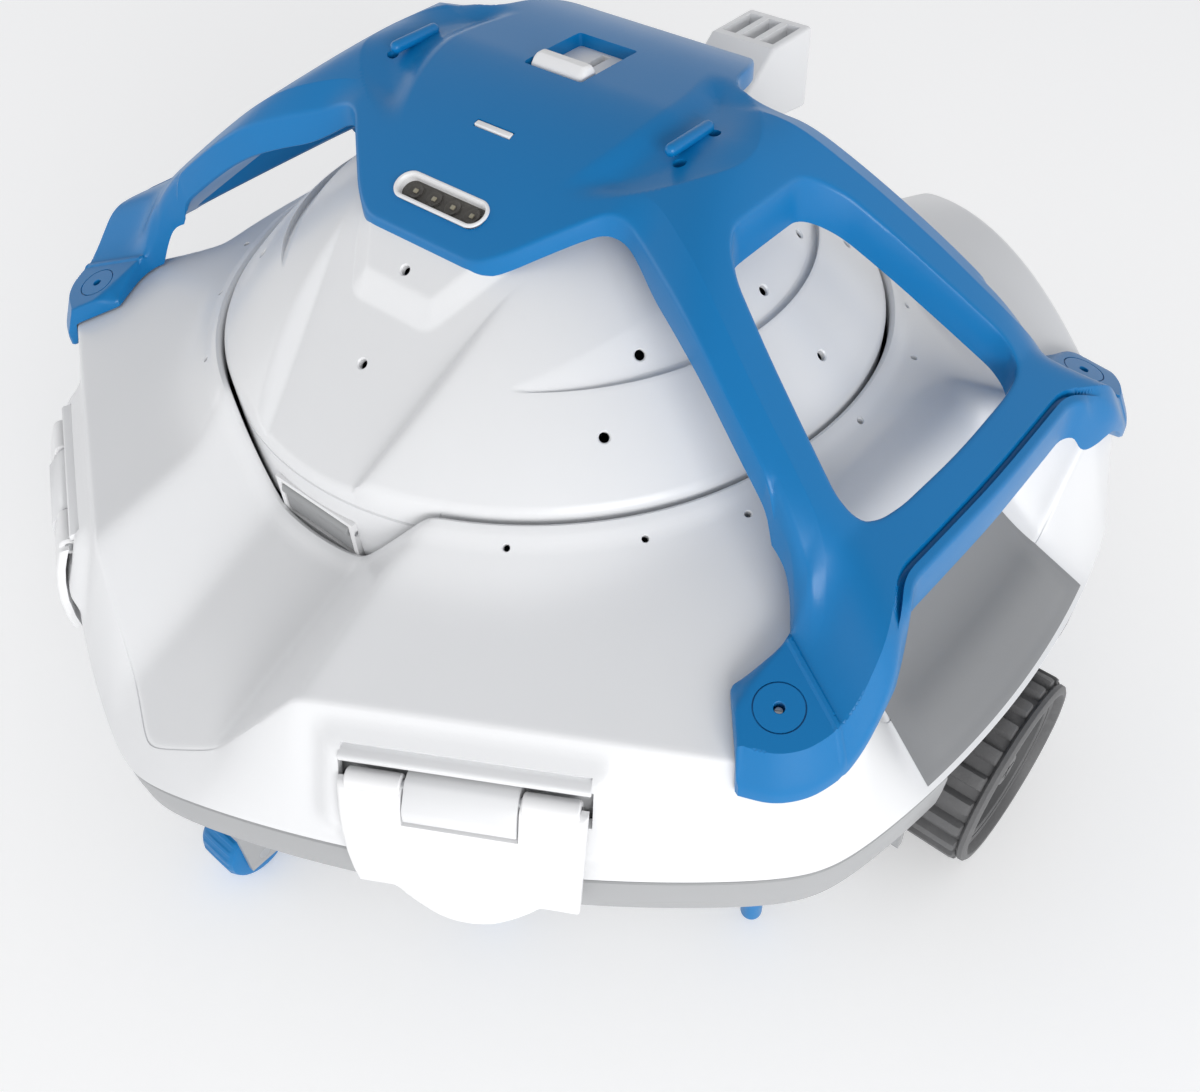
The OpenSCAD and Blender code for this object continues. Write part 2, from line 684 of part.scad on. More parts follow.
module shaft_seal() {
    color(dark_grey) translate([0, 0, pod_z - 3])
        difference() {
            cylinder(r = 8, h = 5.5, $fn = round_fn);
            translate([0, 0, -1]) cylinder(r = shaft_r + 0.05, h = 8, $fn = 32);
        }
}
shaft_low = 84;
module motor_shaft() {
    color(steel) translate([0, 0, shaft_low]) cylinder(r = shaft_r, h = 66, $fn = 32);
}
blade_count = 6;
module impeller() {
    color(dark_grey) translate([0, 0, shaft_low])
        difference() {
            union() {
                cylinder(r = 9, h = 20, $fn = round_fn);
                translate([0, 0, 18]) cylinder(r = impeller_r, h = 2, $fn = round_fn);
                for (i = [0:blade_count - 1]) rotate([0, 0, i * 360 / blade_count])
                    translate([6, -1, 4]) cube([impeller_r - 8, 2, 15]);
            }
            translate([0, 0, -1]) cylinder(r = shaft_r, h = 30, $fn = 32);
        }
}
module pump_ring() {
    color(white)
        difference() {
            union() {
                translate([0, 0, 78]) cylinder(r = impeller_r + 6, h = 37.5, $fn = round_fn);
                translate([0, 0, 78]) cylinder(r = 60, h = 2.5, $fn = round_fn);
            }
            translate([0, 0, 80.5]) cylinder(r = impeller_r + 3, h = 40, $fn = round_fn);
            translate([0, 0, 70]) cylinder(r = 22, h = 20, $fn = round_fn);
            translate([0, 0, 99.5]) cube([34, 120, 24], center = true);
        }
}
module battery_cells() {
    color([0.25, 0.45, 0.35])
        for (s = [-1, 1]) for (i = [0:2])
            translate([s * (i == 1 ? 46 : 33), (i - 1) * 19.5, pod_z + pod_wall])
                cylinder(r = 9, h = 37, $fn = round_fn);
}
module control_board() {
    color("darkgreen") translate([0, 0, pod_z + pod_wall + 39.5])
        union() {
            cylinder(r = 44, h = 1.6, $fn = round_fn);
            translate([-12, 16, 1.6]) cube([24, 14, 2]);
            translate([10, -24, 1.6]) cube([14, 10, 1.9]);
        }
}
module charge_plug() {
    color(dark_grey)
        translate([pod_r - pod_wall, 0, pod_z + 22]) rotate([0, 90, 0])
            union() {
                cylinder(r = 5, h = pod_wall + 0.1, $fn = 32);
                translate([0, 0, pod_wall + 0.1]) cylinder(r = 8, h = 2, $fn = 32);
            }
}

// ---- outlets ----
flap_half = 15.5;
flap_axis_z = 120;
flap_reach = 8.2;
flap_y = dome_r - 1.2;
duct_low = 88;
module outlet_ducts() {
    color(white)
        for (s = [-1, 1]) facing_back(s)
            difference() {
                along_nose(-flap_half - 2, flap_half + 2)
                    polygon([[40, duct_low], [96, duct_low + 20], [108.6, duct_low + 20],
                        [108.6, nose_low_z], [92, nose_low_z], [67, 113], [40, 113]]);
                along_nose(-flap_half, flap_half)
                    polygon([[39, duct_low + 2.5], [96, duct_low + 22.5], [110, duct_low + 22.5],
                        [110, nose_low_z - 1.5], [93, nose_low_z - 1.5], [68, 110.5], [39, 110.5]]);
                translate([-flap_half - 3, flap_y, flap_axis_z]) rotate([0, 90, 0])
                    cylinder(r = 1, h = 2 * flap_half + 6, $fn = 32);
                if (s > 0)
                    translate([0, nozzle_y, 116]) cylinder(r = nozzle_bore_r, h = 12, $fn = round_fn);
            }
}
// A profile in (distance from the middle, up) spread across the front.
module along_nose(from, to) {
    translate([from, 0, 0]) rotate([90, 0, 90]) linear_extrude(to - from) children();
}
module facing_back(s) {
    mirror([0, s > 0 ? 0 : 1, 0]) children();
}
module outlet_flap(s) {
    color(pale_grey) facing_back(s)
        difference() {
            union() {
                translate([-flap_half + 0.5, flap_y - 1, flap_axis_z - flap_reach])
                    cube([2 * flap_half - 1, 2, flap_reach]);
                translate([-flap_half + 0.5, flap_y, flap_axis_z]) rotate([0, 90, 0])
                    cylinder(r = 2, h = 2 * flap_half - 1, $fn = 32);
            }
            translate([-20, flap_y, flap_axis_z]) rotate([0, 90, 0])
                cylinder(r = 1.05, h = 40, $fn = 32);
        }
}
module flap_pins() {
    color(steel)
        for (s = [-1, 1])
            translate([-flap_half - 1.5, s * flap_y, flap_axis_z]) rotate([0, 90, 0])
                cylinder(r = 1, h = 2 * flap_half + 3, $fn = 32);
}
nozzle_y = 94;
nozzle_stem_r = 8;
nozzle_bore_r = 5.5;
nozzle_half = 13.5;
nozzle_low_z = 163;
nozzle_high_z = 187.5;
nozzle_back_y = 126;
module nozzle_seat() {
    color(white) translate([0, nozzle_y, 0])
        difference() {
            translate([0, 0, nose_low_z]) cylinder(r = nozzle_stem_r + 3, h = 35, $fn = round_fn);
            translate([0, 0, 120]) cylinder(r = nozzle_stem_r + 0.05, h = 50, $fn = round_fn);
        }
}
module rear_nozzle() {
    color(white)
        difference() {
            union() {
                translate([0, nozzle_y, 128]) cylinder(r = nozzle_stem_r, h = 40, $fn = round_fn);
                translate([-nozzle_half, 0, 0]) rotate([90, 0, 90]) linear_extrude(2 * nozzle_half)
                    polygon([[nozzle_y - 9, nozzle_low_z], [nozzle_back_y, nozzle_low_z - 5],
                        [nozzle_back_y, nozzle_high_z], [102, nozzle_high_z],
                        [nozzle_y - 9, nozzle_low_z + 12]]);
            }
            translate([0, nozzle_y, 120]) cylinder(r = nozzle_bore_r, h = 55, $fn = round_fn);
            translate([-nozzle_half + 3, nozzle_y, nozzle_low_z + 2])
                cube([2 * nozzle_half - 6, 40, 10]);
            for (i = [-1:1])
                translate([i * 8 - 2.8, 105, nozzle_high_z - 5]) cube([5.6, 17, 10]);
        }
}

// ---- suction side ----
mouth_r = 30;
bar_half = 3;
intake_z = 26;
module intake_port() {
    color(pale_grey)
        difference() {
            union() {
                translate([0, 0, floor_z - 4]) cylinder(r = port_r, h = 14, $fn = round_fn);
                translate([0, 0, floor_z - 4]) cylinder(r = port_r + 6, h = 3.8, $fn = round_fn);
            }
            difference() {
                translate([0, 0, 10]) cylinder(r = mouth_r, h = 30, $fn = round_fn);
                translate([-40, -bar_half, 10]) cube([80, 2 * bar_half, 12]);
            }
            for (s = [-1, 1]) translate([-36, s * flap_hinge_y, intake_z]) rotate([0, 90, 0])
                cylinder(r = 1, h = 72, $fn = 32);
        }
}
flap_hinge_y = 3.2;
module intake_flap(s) {
    color(dark_grey) facing_back(s)
        difference() {
            union() {
                intersection() {
                    translate([0, 0, intake_z - 1]) cylinder(r = mouth_r - 0.6, h = 2, $fn = round_fn);
                    translate([-40, flap_hinge_y, 0]) cube([80, 60, 60]);
                }
                translate([-24, flap_hinge_y, intake_z]) rotate([0, 90, 0])
                    cylinder(r = 2.2, h = 48, $fn = 32);
            }
            translate([-40, flap_hinge_y, intake_z]) rotate([0, 90, 0])
                cylinder(r = 1.05, h = 80, $fn = 32);
        }
}
module intake_pins() {
    color(steel)
        for (s = [-1, 1])
            translate([-34, s * flap_hinge_y, intake_z]) rotate([0, 90, 0])
                cylinder(r = 1, h = 68, $fn = 32);
}
filter_half_x = 95;
filter_half_y = 80;
module filter_frame() {
    color(white)
        difference() {
            union() {
                translate([-filter_half_x, -filter_half_y, 64]) cube([2 * filter_half_x, 2 * filter_half_y, 6]);
                for (sx = [-1, 1]) for (sy = [-1, 1])
                    translate([sx * (filter_half_x - 5) - 4, sy * (filter_half_y - 5) - 4, floor_z + wall])
                        cube([8, 8, 42]);
                translate([-8, -8, 61]) cube([16, 16, 4]);
            }
            for (sx = [-1, 1]) for (sy = [-1, 1])
                translate([sx * 50 - 40, sy * 42 - 33, 60]) cube([80, 66, 20]);
        }
}
module filter_mesh() {
    color("lightgrey")
        translate([-filter_half_x + 6, -filter_half_y + 6, 70])
            cube([2 * filter_half_x - 12, 2 * filter_half_y - 12, 1]);
}
module ballast_weights() {
    color(steel)
        for (s = [-1, 1])
            translate([s * 85 - 15, -18, floor_z + wall]) cube([30, 36, 14]);
}

upper_shell();
dome_cover();
handle_frame();
foot_screws();
base_shell();
base_seal();
latch(0);  // latch_front_right
latch(1);  // latch_front_left
latch(2);  // latch_back_left
latch(3);  // latch_back_right
latch_brackets();
latch_pins();
wheel_rim(1);  // wheel_rim_right
wheel_rim(-1);  // wheel_rim_left
wheel_tyre(1);  // wheel_tyre_right
wheel_tyre(-1);  // wheel_tyre_left
wheel_bush(1);  // wheel_bush_right
wheel_bush(-1);  // wheel_bush_left
wheel_cap(1);  // wheel_cap_right
wheel_cap(-1);  // wheel_cap_left
axle_stubs();
wheel_wells();
roller(-1);  // roller_front
roller(1);  // roller_back
roller_forks();
roller_pins();
glide_studs();
led_bezel();
led_lens();
led_board();
light_pipe();
switch_plate();
switch_slider();
control_board();
pod_housing();
pod_lid();
pod_seal();
drive_motor();
motor_shaft();
shaft_seal();
impeller();
pump_ring();
battery_cells();
outlet_ducts();
outlet_flap(-1);  // outlet_flap_front
outlet_flap(1);  // outlet_flap_back
flap_pins();
rear_nozzle();
nozzle_seat();
intake_port();
intake_flap(-1);  // intake_flap_front
intake_flap(1);  // intake_flap_back
intake_pins();
filter_frame();
filter_mesh();
ballast_weights();
pod_screws();
charge_plug();
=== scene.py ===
"""Looks for the pool cleaner: shells, lifting frame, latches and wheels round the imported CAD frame.

Sizes are in millimetres until a mesh is made. +X is the right side, -Y the nose, +Z up.
"""

import math

import bmesh
import bpy
import numpy as np
from mathutils import Matrix, Vector
from mathutils.kdtree import KDTree
from mathutils.geometry import delaunay_2d_cdt


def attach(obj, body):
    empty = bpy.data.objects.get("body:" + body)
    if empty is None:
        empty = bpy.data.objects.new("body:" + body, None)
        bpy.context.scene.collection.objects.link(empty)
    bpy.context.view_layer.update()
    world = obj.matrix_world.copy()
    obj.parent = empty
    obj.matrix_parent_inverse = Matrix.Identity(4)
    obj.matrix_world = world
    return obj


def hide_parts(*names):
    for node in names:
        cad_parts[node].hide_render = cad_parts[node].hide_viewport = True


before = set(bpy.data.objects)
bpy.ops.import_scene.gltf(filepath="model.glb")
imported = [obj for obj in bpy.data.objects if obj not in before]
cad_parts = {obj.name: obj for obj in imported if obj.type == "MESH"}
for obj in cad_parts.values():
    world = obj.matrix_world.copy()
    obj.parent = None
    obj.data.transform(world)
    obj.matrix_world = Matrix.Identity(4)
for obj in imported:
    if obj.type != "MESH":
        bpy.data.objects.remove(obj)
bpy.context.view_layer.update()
MM = 0.001

# ---- hull shape, as in the CAD source ----
RIM_SLANT, RIM_SIDE = 177.5, 185.0
SLANT_BOW, SIDE_BOW = 404.0, 332.0
CREASE_SLANT, CREASE_SIDE, CREASE_Z = 159.0, 163.0, 116.0
SLANT_X, SLANT_Y = 0.4958, 0.8684
JOINT_Z = 74.0
WALL = 3.0
DOME_R, DOME_Z, DOME_TOP = 108.6, 141.0, 196.0
HOLE_R = DOME_R + 1.1
HUB_Z = 211.5
FOOT_X, FOOT_Y = 150.0, 85.0
ROUND = 720  # points round a hull ring
QUARTERS = [(sx, sy) for sx in (-1, 1) for sy in (-1, 1)]
STUD_PLACES = [(146, 79), (80, 131)]
HUB_MID, HUB_BACK = 8.0, 49.0
NOZZLE_STEM_Y = 94.0


def smin(a, b, k):
    return -k * np.logaddexp(-a / k, -b / k)


def smax(a, b, k):
    return k * np.logaddexp(a / k, b / k)


def step(x, low, high):
    """Rises smoothly from 0 at low to 1 at high."""
    t = np.clip((x - low) / (high - low), 0, 1)
    return t * t * (3 - 2 * t)


def bow_r(u, v, nx, ny, mid, rad):
    e = (mid - rad) * (u * nx + v * ny)
    return e + np.sqrt(rad * rad - (rad - mid) ** 2 + e * e)


def rim_r(x, y):
    r = np.hypot(x, y)
    u, v = abs(x) / r, abs(y) / r
    near = bow_r(u, v, SLANT_X, SLANT_Y, RIM_SLANT, SLANT_BOW)
    far = bow_r(u, v, -SLANT_X, SLANT_Y, RIM_SLANT, SLANT_BOW)
    side = bow_r(u, v, 1, 0, RIM_SIDE, SIDE_BOW)
    return smin(smin(near, side, 3), far, 3)


def line_r(dist, c):
    return np.where(c > 0.3, dist / np.maximum(c, 0.3), 3 * dist)


def crease_r(x, y):
    r = np.hypot(x, y)
    u, v = abs(x) / r, abs(y) / r
    near = line_r(CREASE_SLANT, SLANT_X * u + SLANT_Y * v)
    far = line_r(CREASE_SLANT, SLANT_Y * v - SLANT_X * u)
    return smin(smin(near, line_r(CREASE_SIDE, u), 2), far, 2)


def rear_swell(x, y):
    d = abs(x) * SLANT_X + abs(y) * SLANT_Y
    s = abs(x) * SLANT_Y - abs(y) * SLANT_X
    rise = 18 * np.clip(1 - ((s - 16) / 64) ** 2, 0, 1) * np.clip((d - 112) / 47, 0, 1)
    return np.where(y > 0, rise, 0)


def shoulder_z(x, y):
    r = np.hypot(x, y)
    facet = CREASE_Z + (CREASE_SLANT - abs(x) * SLANT_X - abs(y) * SLANT_Y) * 0.33
    collar = DOME_Z - (r - HOLE_R) * 0.9
    cone = DOME_Z - (r - HOLE_R) * 0.3
    return smin(cone, smax(facet, collar, 2), 2) + rear_swell(x, y)


def trough_floor(x, y):
    return 111 - (abs(y) - 110) * 0.43 + smax((abs(x) - 20) * 0.95, 0 * x, 1.5)


def scoop_floor(x, y):
    fall = np.maximum(0, (182 - abs(x)) / 60) ** 1.8
    return 80 + 56 * fall + smax((abs(y) - 46) * 1.6, 0 * x, 2)


def top_z(x, y):
    return smin(smin(shoulder_z(x, y), trough_floor(x, y), 1.5), scoop_floor(x, y), 1.5)


def skin_z(x, y):
    r, rc, rr = np.hypot(x, y), crease_r(x, y), rim_r(x, y)
    k = np.minimum(1, rc / r)
    z = top_z(x * k, y * k)
    return np.where(r <= rc, z, z + (JOINT_Z - z) * (r - rc) / (rr - rc))


def facet_z(x, y):
    run = 107 - abs(y)
    return 137 + run * 0.8 + np.maximum(0, abs(x) - 18.7 - run * 0.27) * 0.9


def domed_z(x, y):
    r = np.hypot(x, y)
    return smin(DOME_TOP - (DOME_TOP - DOME_Z) * (r / DOME_R) ** 2.2, facet_z(x, y), 1)


def under_z(x, y):
    return np.where(np.hypot(x, y) < HOLE_R, domed_z(x, y), skin_z(x, y))


# ---- lifting frame shape ----
def hub_height(y):
    """Falls away evenly towards the nose and rolls over late at the back."""
    run = np.asarray(y, float) - HUB_MID
    nose, back = np.maximum(0, -run), np.maximum(0, run)
    return HUB_Z - 0.0354 * nose ** 1.6 - 5.5 * (back / HUB_BACK) ** 4.7


def arm_height(x):
    x = abs(x)
    return np.maximum(200 - (x - 82) * 0.787, 152 - (x - 143) * 0.47)


def slant_d(x, y):
    return abs(x) * SLANT_X + abs(y) * SLANT_Y


def foot_plane(x, y):
    """The flat top of a foot, parallel to the shoulder under it."""
    return 126.0 + (slant_d(FOOT_X, FOOT_Y) - slant_d(x, y)) * 0.33


def past_rib(x, y):
    """How far a point is past the foot's rib towards the outer bar."""
    return (abs(x) - 142) * 0.4315 - (abs(y) - 68.5) * 0.902


def leg_height(x, y):
    q = past_rib(x, y)
    up = np.maximum(0, q)
    rib = 0.55 * step(q, -2.2, -1.7) * (1 - step(q, -0.6, -0.1))
    inner = np.maximum(step(q, -0.1, 7), 1 - step(abs(x), 120, 134))
    rise = smax(146 - abs(x), 0 * x, 2.0) * 1.6 * inner
    return foot_plane(x, y) + 0.25 * up + 0.047 * up * up + rib + rise


def frame_top(x, y):
    arch = smin(hub_height(y), arm_height(x), 3)
    body = smin(arch, leg_height(x, y), 4)
    side = 147 - (abs(x) - 162 - 5 * step(abs(y), 50, 66)) * 4
    return np.maximum(112.5, smin(side, smax(body, under_z(x, y) + 3.2, 0.6), 1.5))


# ---- meshes ----
def quads(m, n, close_rows=False, close_cols=True):
    """Faces of a grid of m rows of n points."""
    faces = []
    for j in range(m if close_rows else m - 1):
        k = (j + 1) % m
        for i in range(n if close_cols else n - 1):
            h = (i + 1) % n
            faces.append((j * n + i, j * n + h, k * n + h, k * n + i))
    return faces


def mesh_object(name, points, faces):
    mesh = bpy.data.meshes.new(name)
    points = np.asarray(points, float).reshape(-1, 3) * MM
    mesh.from_pydata(points.tolist(), [], [tuple(int(i) for i in f) for f in faces])
    mesh.validate()
    bm = bmesh.new()
    bm.from_mesh(mesh)
    bmesh.ops.recalc_face_normals(bm, faces=bm.faces)
    bm.to_mesh(mesh)
    bm.free()
    obj = bpy.data.objects.new(name, mesh)
    bpy.context.scene.collection.objects.link(obj)
    return obj


def rings_object(name, rings):
    """A closed solid from a loop of rings that all have the same number of points."""
    rings = np.asarray(rings, float)
    return mesh_object(name, rings, quads(len(rings), rings.shape[1], close_rows=True))


def stack_object(name, rings):
    """A solid from a stack of rings, closed by a flat face at each end."""
    m, n = len(rings), len(rings[0])
    points = [p for ring in rings for p in ring]
    ends = [tuple(range(n))[::-1], tuple(range((m - 1) * n, m * n))]
    return mesh_object(name, points, quads(m, n) + ends)


def sheet_object(name, top, low):
    """A closed sheet between two grids of points, given as lists of rows."""
    m, n = len(top), len(top[0])
    f = quads(m, n, close_cols=False)
    faces = f + [tuple(i + m * n for i in q[::-1]) for q in f]
    loop = ([(0, i) for i in range(n)] + [(j, n - 1) for j in range(1, m)]
            + [(m - 1, i) for i in range(n - 2, -1, -1)] + [(j, 0) for j in range(m - 2, 0, -1)])
    ids = [j * n + i for j, i in loop]
    faces += [(b, a, a + m * n, b + m * n) for a, b in zip(ids, ids[1:] + ids[:1])]
    return mesh_object(name, np.vstack(list(top) + list(low)), faces)


def transform(obj, matrix):
    obj.data.transform(matrix)
    if matrix.determinant() < 0:
        obj.data.flip_normals()
    obj.data.update()
    return obj


def moved(x, y, z):
    return Matrix.Translation(Vector((x, y, z)) * MM)


def turned(degrees, axis):
    return Matrix.Rotation(math.radians(degrees), 4, axis)


def joined(name, objects):
    objects = list(objects)
    bm = bmesh.new()
    slots = []
    for o in objects:
        start = len(bm.faces)
        bm.from_mesh(o.data)
        bm.faces.ensure_lookup_table()
        names = [m.name if m else None for m in o.data.materials] or [None]
        shift = len(slots)
        slots.extend(names)
        for f in bm.faces[start:]:
            f.material_index += shift
    mesh = bpy.data.meshes.new(name)
    bm.to_mesh(mesh)
    bm.free()
    if any(slots):
        for n in slots:
            mesh.materials.append(bpy.data.materials.get(n) if n else None)
    else:
        mesh.polygons.foreach_set("material_index", np.zeros(len(mesh.polygons), np.int32))
    for o in objects:
        bpy.data.objects.remove(o)
    obj = bpy.data.objects.new(name, mesh)
    bpy.context.scene.collection.objects.link(obj)
    return obj


def applied(obj):
    """Applies the modifiers of obj."""
    graph = bpy.context.evaluated_depsgraph_get()
    mesh = bpy.data.meshes.new_from_object(obj.evaluated_get(graph))
    obj.modifiers.clear()
    obj.data = mesh
    return obj


def cut(obj, cutters, operation="DIFFERENCE"):
    """Cuts the cutters, which don't touch each other, out of obj."""
    tool = joined("tool", cutters)
    mod = obj.modifiers.new("cut", "BOOLEAN")
    mod.operation = operation
    mod.solver = "MANIFOLD"
    mod.object = tool
    applied(obj)
    bpy.data.objects.remove(tool)
    return obj


def bevelled(obj, width, segments=3, angle=40):
    mod = obj.modifiers.new("bevel", "BEVEL")
    mod.width = width * MM
    mod.segments = segments
    mod.limit_method = "ANGLE"
    mod.angle_limit = math.radians(angle)
    mod.harden_normals = False
    return applied(obj)


def prism(name, outline, low, high):
    """A straight prism from a list of (x, y)."""
    n = len(outline)
    points = [(x, y, low) for x, y in outline] + [(x, y, high) for x, y in outline]
    sides = [(i, (i + 1) % n, n + (i + 1) % n, n + i) for i in range(n)]
    return mesh_object(name, points, sides + [tuple(range(n))[::-1], tuple(range(n, 2 * n))])


def block(name, low, high):
    (x0, y0, z0), (x1, y1, z1) = low, high
    return prism(name, [(x0, y0), (x1, y0), (x1, y1), (x0, y1)], z0, z1)


def circle(r, n=48, x=0.0, y=0.0):
    turns = np.arange(n) * 2 * math.pi / n
    return [(x + r * math.cos(t), y + r * math.sin(t)) for t in turns]


def oblong(half, r, n=40):
    """A slot outline: two half circles, half apart from the middle."""
    return [(x + math.copysign(half, x), y) for x, y in circle(r, n + n % 2 + 1)]


def rod(name, r, low, high, n=48):
    return prism(name, circle(r, n), low, high)


def lathe(name, profile, n=96):
    """Turns a closed profile of (radius, height) about Z. A radius of 0 closes the solid there."""
    turns = np.arange(n) * 2 * math.pi / n
    rings = [[(r * math.cos(t), r * math.sin(t), z) for t in turns] for r, z in profile]
    obj = rings_object(name, rings)
    bm = bmesh.new()
    bm.from_mesh(obj.data)
    bmesh.ops.remove_doubles(bm, verts=bm.verts, dist=1e-7)
    bmesh.ops.recalc_face_normals(bm, faces=bm.faces)
    bm.to_mesh(obj.data)
    bm.free()
    return obj


def rounded_path(corners, steps=6):
    """A closed outline with each (x, y, cut) corner rounded from cut before it to cut after it."""
    pts = np.array([c[:2] for c in corners], float)
    cuts = [c[2] if len(c) > 2 else 1e9 for c in corners]
    out = []
    for i, p in enumerate(pts):
        a, b = pts[i - 1] - p, pts[(i + 1) % len(pts)] - p
        la, lb = np.hypot(*a), np.hypot(*b)
        c = min(cuts[i], la / 2, lb / 2)
        s, e = p + a / la * c, p + b / lb * c
        for t in np.linspace(0, 1, steps):
            out.append((1 - t) ** 2 * s + 2 * t * (1 - t) * p + t * t * e)
    return np.array(out)


def resampled(path, spacing):
    """The closed path with points at even spacing."""
    loop = np.vstack([path, path[:1]])
    run = np.concatenate([[0], np.cumsum(np.hypot(*np.diff(loop, axis=0).T))])
    n = int(round(run[-1] / spacing))
    at = np.arange(n) * run[-1] / n
    return np.column_stack([np.interp(at, run, loop[:, k]) for k in (0, 1)])


def distance(points, loop):
    """How far each point is from a closed loop."""
    a, b = loop, np.roll(loop, -1, axis=0)
    ab = b - a
    best = np.full(len(points), 1e9)
    for start in range(0, len(points), 2000):
        p = points[start:start + 2000, None, :]
        t = np.clip(((p - a) * ab).sum(2) / np.maximum((ab * ab).sum(1), 1e-9), 0, 1)
        gap = p - (a + t[..., None] * ab)
        best[start:start + 2000] = np.sqrt((gap * gap).sum(2).min(1))
    return best


def inside(points, loop):
    x, y = points[:, 0], points[:, 1]
    hit = np.zeros(len(points), bool)
    for (x0, y0), (x1, y1) in zip(loop, np.roll(loop, -1, axis=0)):
        if y0 != y1:
            over = (y0 > y) != (y1 > y)
            hit ^= over & (x < (x1 - x0) * (y - y0) / (y1 - y0) + x0)
    return hit


def inset(loop, amount):
    """Points of loop moved inwards, less those that come too near another stretch of it."""
    d = np.roll(loop, -1, axis=0) - np.roll(loop, 1, axis=0)
    n = np.column_stack([-d[:, 1], d[:, 0]]) / np.hypot(*d.T)[:, None]
    x, y = loop.T
    area = (x * np.roll(y, -1) - y * np.roll(x, -1)).sum()
    new = loop + n * amount * math.copysign(1, area)
    return new[distance(new, loop) > amount - 0.06]


# ---- materials ----
def material(name, colour, roughness, grain=0.02, grain_mm=0.5, variation=0.03, metallic=0.0,
             coat=0.0, specular=0.5, alpha=1.0, dust=0.0, wear=0.0):
    """A moulded or metal surface: colour drift, uneven gloss, grain, optional dust and rubbed patches."""
    mat = bpy.data.materials.new(name)
    mat.use_nodes = True
    nodes, links = mat.node_tree.nodes, mat.node_tree.links
    shader = nodes["Principled BSDF"]
    where = nodes.new("ShaderNodeTexCoord")

    def noise(scale, detail=3.0):
        n = nodes.new("ShaderNodeTexNoise")
        n.inputs["Scale"].default_value = scale
        n.inputs["Detail"].default_value = detail
        links.new(where.outputs["Object"], n.inputs["Vector"])
        return n.outputs["Fac"]

    def ramp(source, stops):
        r = nodes.new("ShaderNodeValToRGB")
        r.color_ramp.elements[0].position, r.color_ramp.elements[0].color = stops[0]
        r.color_ramp.elements[1].position, r.color_ramp.elements[1].color = stops[1]
        links.new(source, r.inputs["Fac"])
        return r.outputs["Color"]

    def shade(k):
        return tuple(min(1, c * k) for c in colour) + (1,)

    base = ramp(noise(9, 4), [(0.3, shade(1 - variation)), (0.7, shade(1 + variation / 2))])
    if dust:
        mix = nodes.new("ShaderNodeMix")
        mix.data_type = "RGBA"
        speck = ramp(noise(260, 6), [(0.55, (0, 0, 0, 1)), (0.8, (dust,) * 3 + (1,))])
        links.new(speck, mix.inputs["Factor"])
        links.new(base, mix.inputs[6])
        mix.inputs[7].default_value = shade(1.6)
        base = mix.outputs[2]
    links.new(base, shader.inputs["Base Color"])
    spread = nodes.new("ShaderNodeMapRange")
    spread.inputs["To Min"].default_value = max(0.02, roughness - 0.05)
    spread.inputs["To Max"].default_value = min(1, roughness + 0.05 + wear)
    links.new(noise(38, 5), spread.inputs["Value"])
    links.new(spread.outputs["Result"], shader.inputs["Roughness"])
    bump = nodes.new("ShaderNodeBump")
    bump.inputs["Strength"].default_value = grain
    bump.inputs["Distance"].default_value = 0.0004
    links.new(noise(1 / (grain_mm * MM), 2), bump.inputs["Height"])
    links.new(bump.outputs["Normal"], shader.inputs["Normal"])
    shader.inputs["Metallic"].default_value = metallic
    shader.inputs["Coat Weight"].default_value = coat
    shader.inputs["Coat Roughness"].default_value = 0.12
    shader.inputs["Specular IOR Level"].default_value = specular
    shader.inputs["Alpha"].default_value = alpha
    return mat


WHITE = material("white_gloss_plastic", (0.76, 0.765, 0.775), 0.34, grain=0.03, coat=0.12)
TRIM = material("white_trim_plastic", (0.82, 0.82, 0.825), 0.38, grain=0.03)
# Painted shade: a dark grey laid on the side scoops in place of the shade that falls under the outer bars.
PAINTED_SHADE = material("painted_scoop_shade", (0.24, 0.245, 0.252), 0.4, grain=0.04)
BLUE = material("blue_satin_plastic", (0.001, 0.165, 0.43), 0.36, grain=0.04, coat=0.1, specular=0.32,
                variation=0.04)
BASE = material("pale_grey_plastic", (0.36, 0.365, 0.372), 0.42, grain=0.06)
FLAP = material("mid_grey_plastic", (0.31, 0.315, 0.32), 0.45, grain=0.06)
WHEEL = material("dark_grey_plastic", (0.105, 0.106, 0.108), 0.46, grain=0.12, variation=0.12, dust=0.2)
TYRE = material("dark_grey_rubber", (0.115, 0.115, 0.117), 0.58, grain=0.25, grain_mm=0.8,
                variation=0.15, dust=0.35)
RUBBER = material("black_rubber", (0.025, 0.025, 0.026), 0.6, grain=0.2, variation=0.15)
STEEL = material("stainless_steel", (0.56, 0.57, 0.58), 0.28, grain=0.08, metallic=1.0, wear=0.1)
BOARD = material("circuit_board", (0.02, 0.13, 0.06), 0.4, grain=0.1, variation=0.2)
CELLS = material("battery_wrap", (0.08, 0.28, 0.2), 0.35, grain=0.05)
CLOTH = material("filter_cloth", (0.6, 0.61, 0.62), 0.85, grain=0.6, grain_mm=0.9, variation=0.12)
SILVER = material("lamp_silver", (0.075, 0.068, 0.058), 0.5, grain=0.6, grain_mm=1.2, variation=0.6)
CHIP = material("lamp_chip", (0.34, 0.31, 0.22), 0.35, grain=0.2)
LENS = material("clear_lens_plastic", (0.3, 0.3, 0.3), 0.1, grain=0.01, alpha=0.03, specular=0.2)

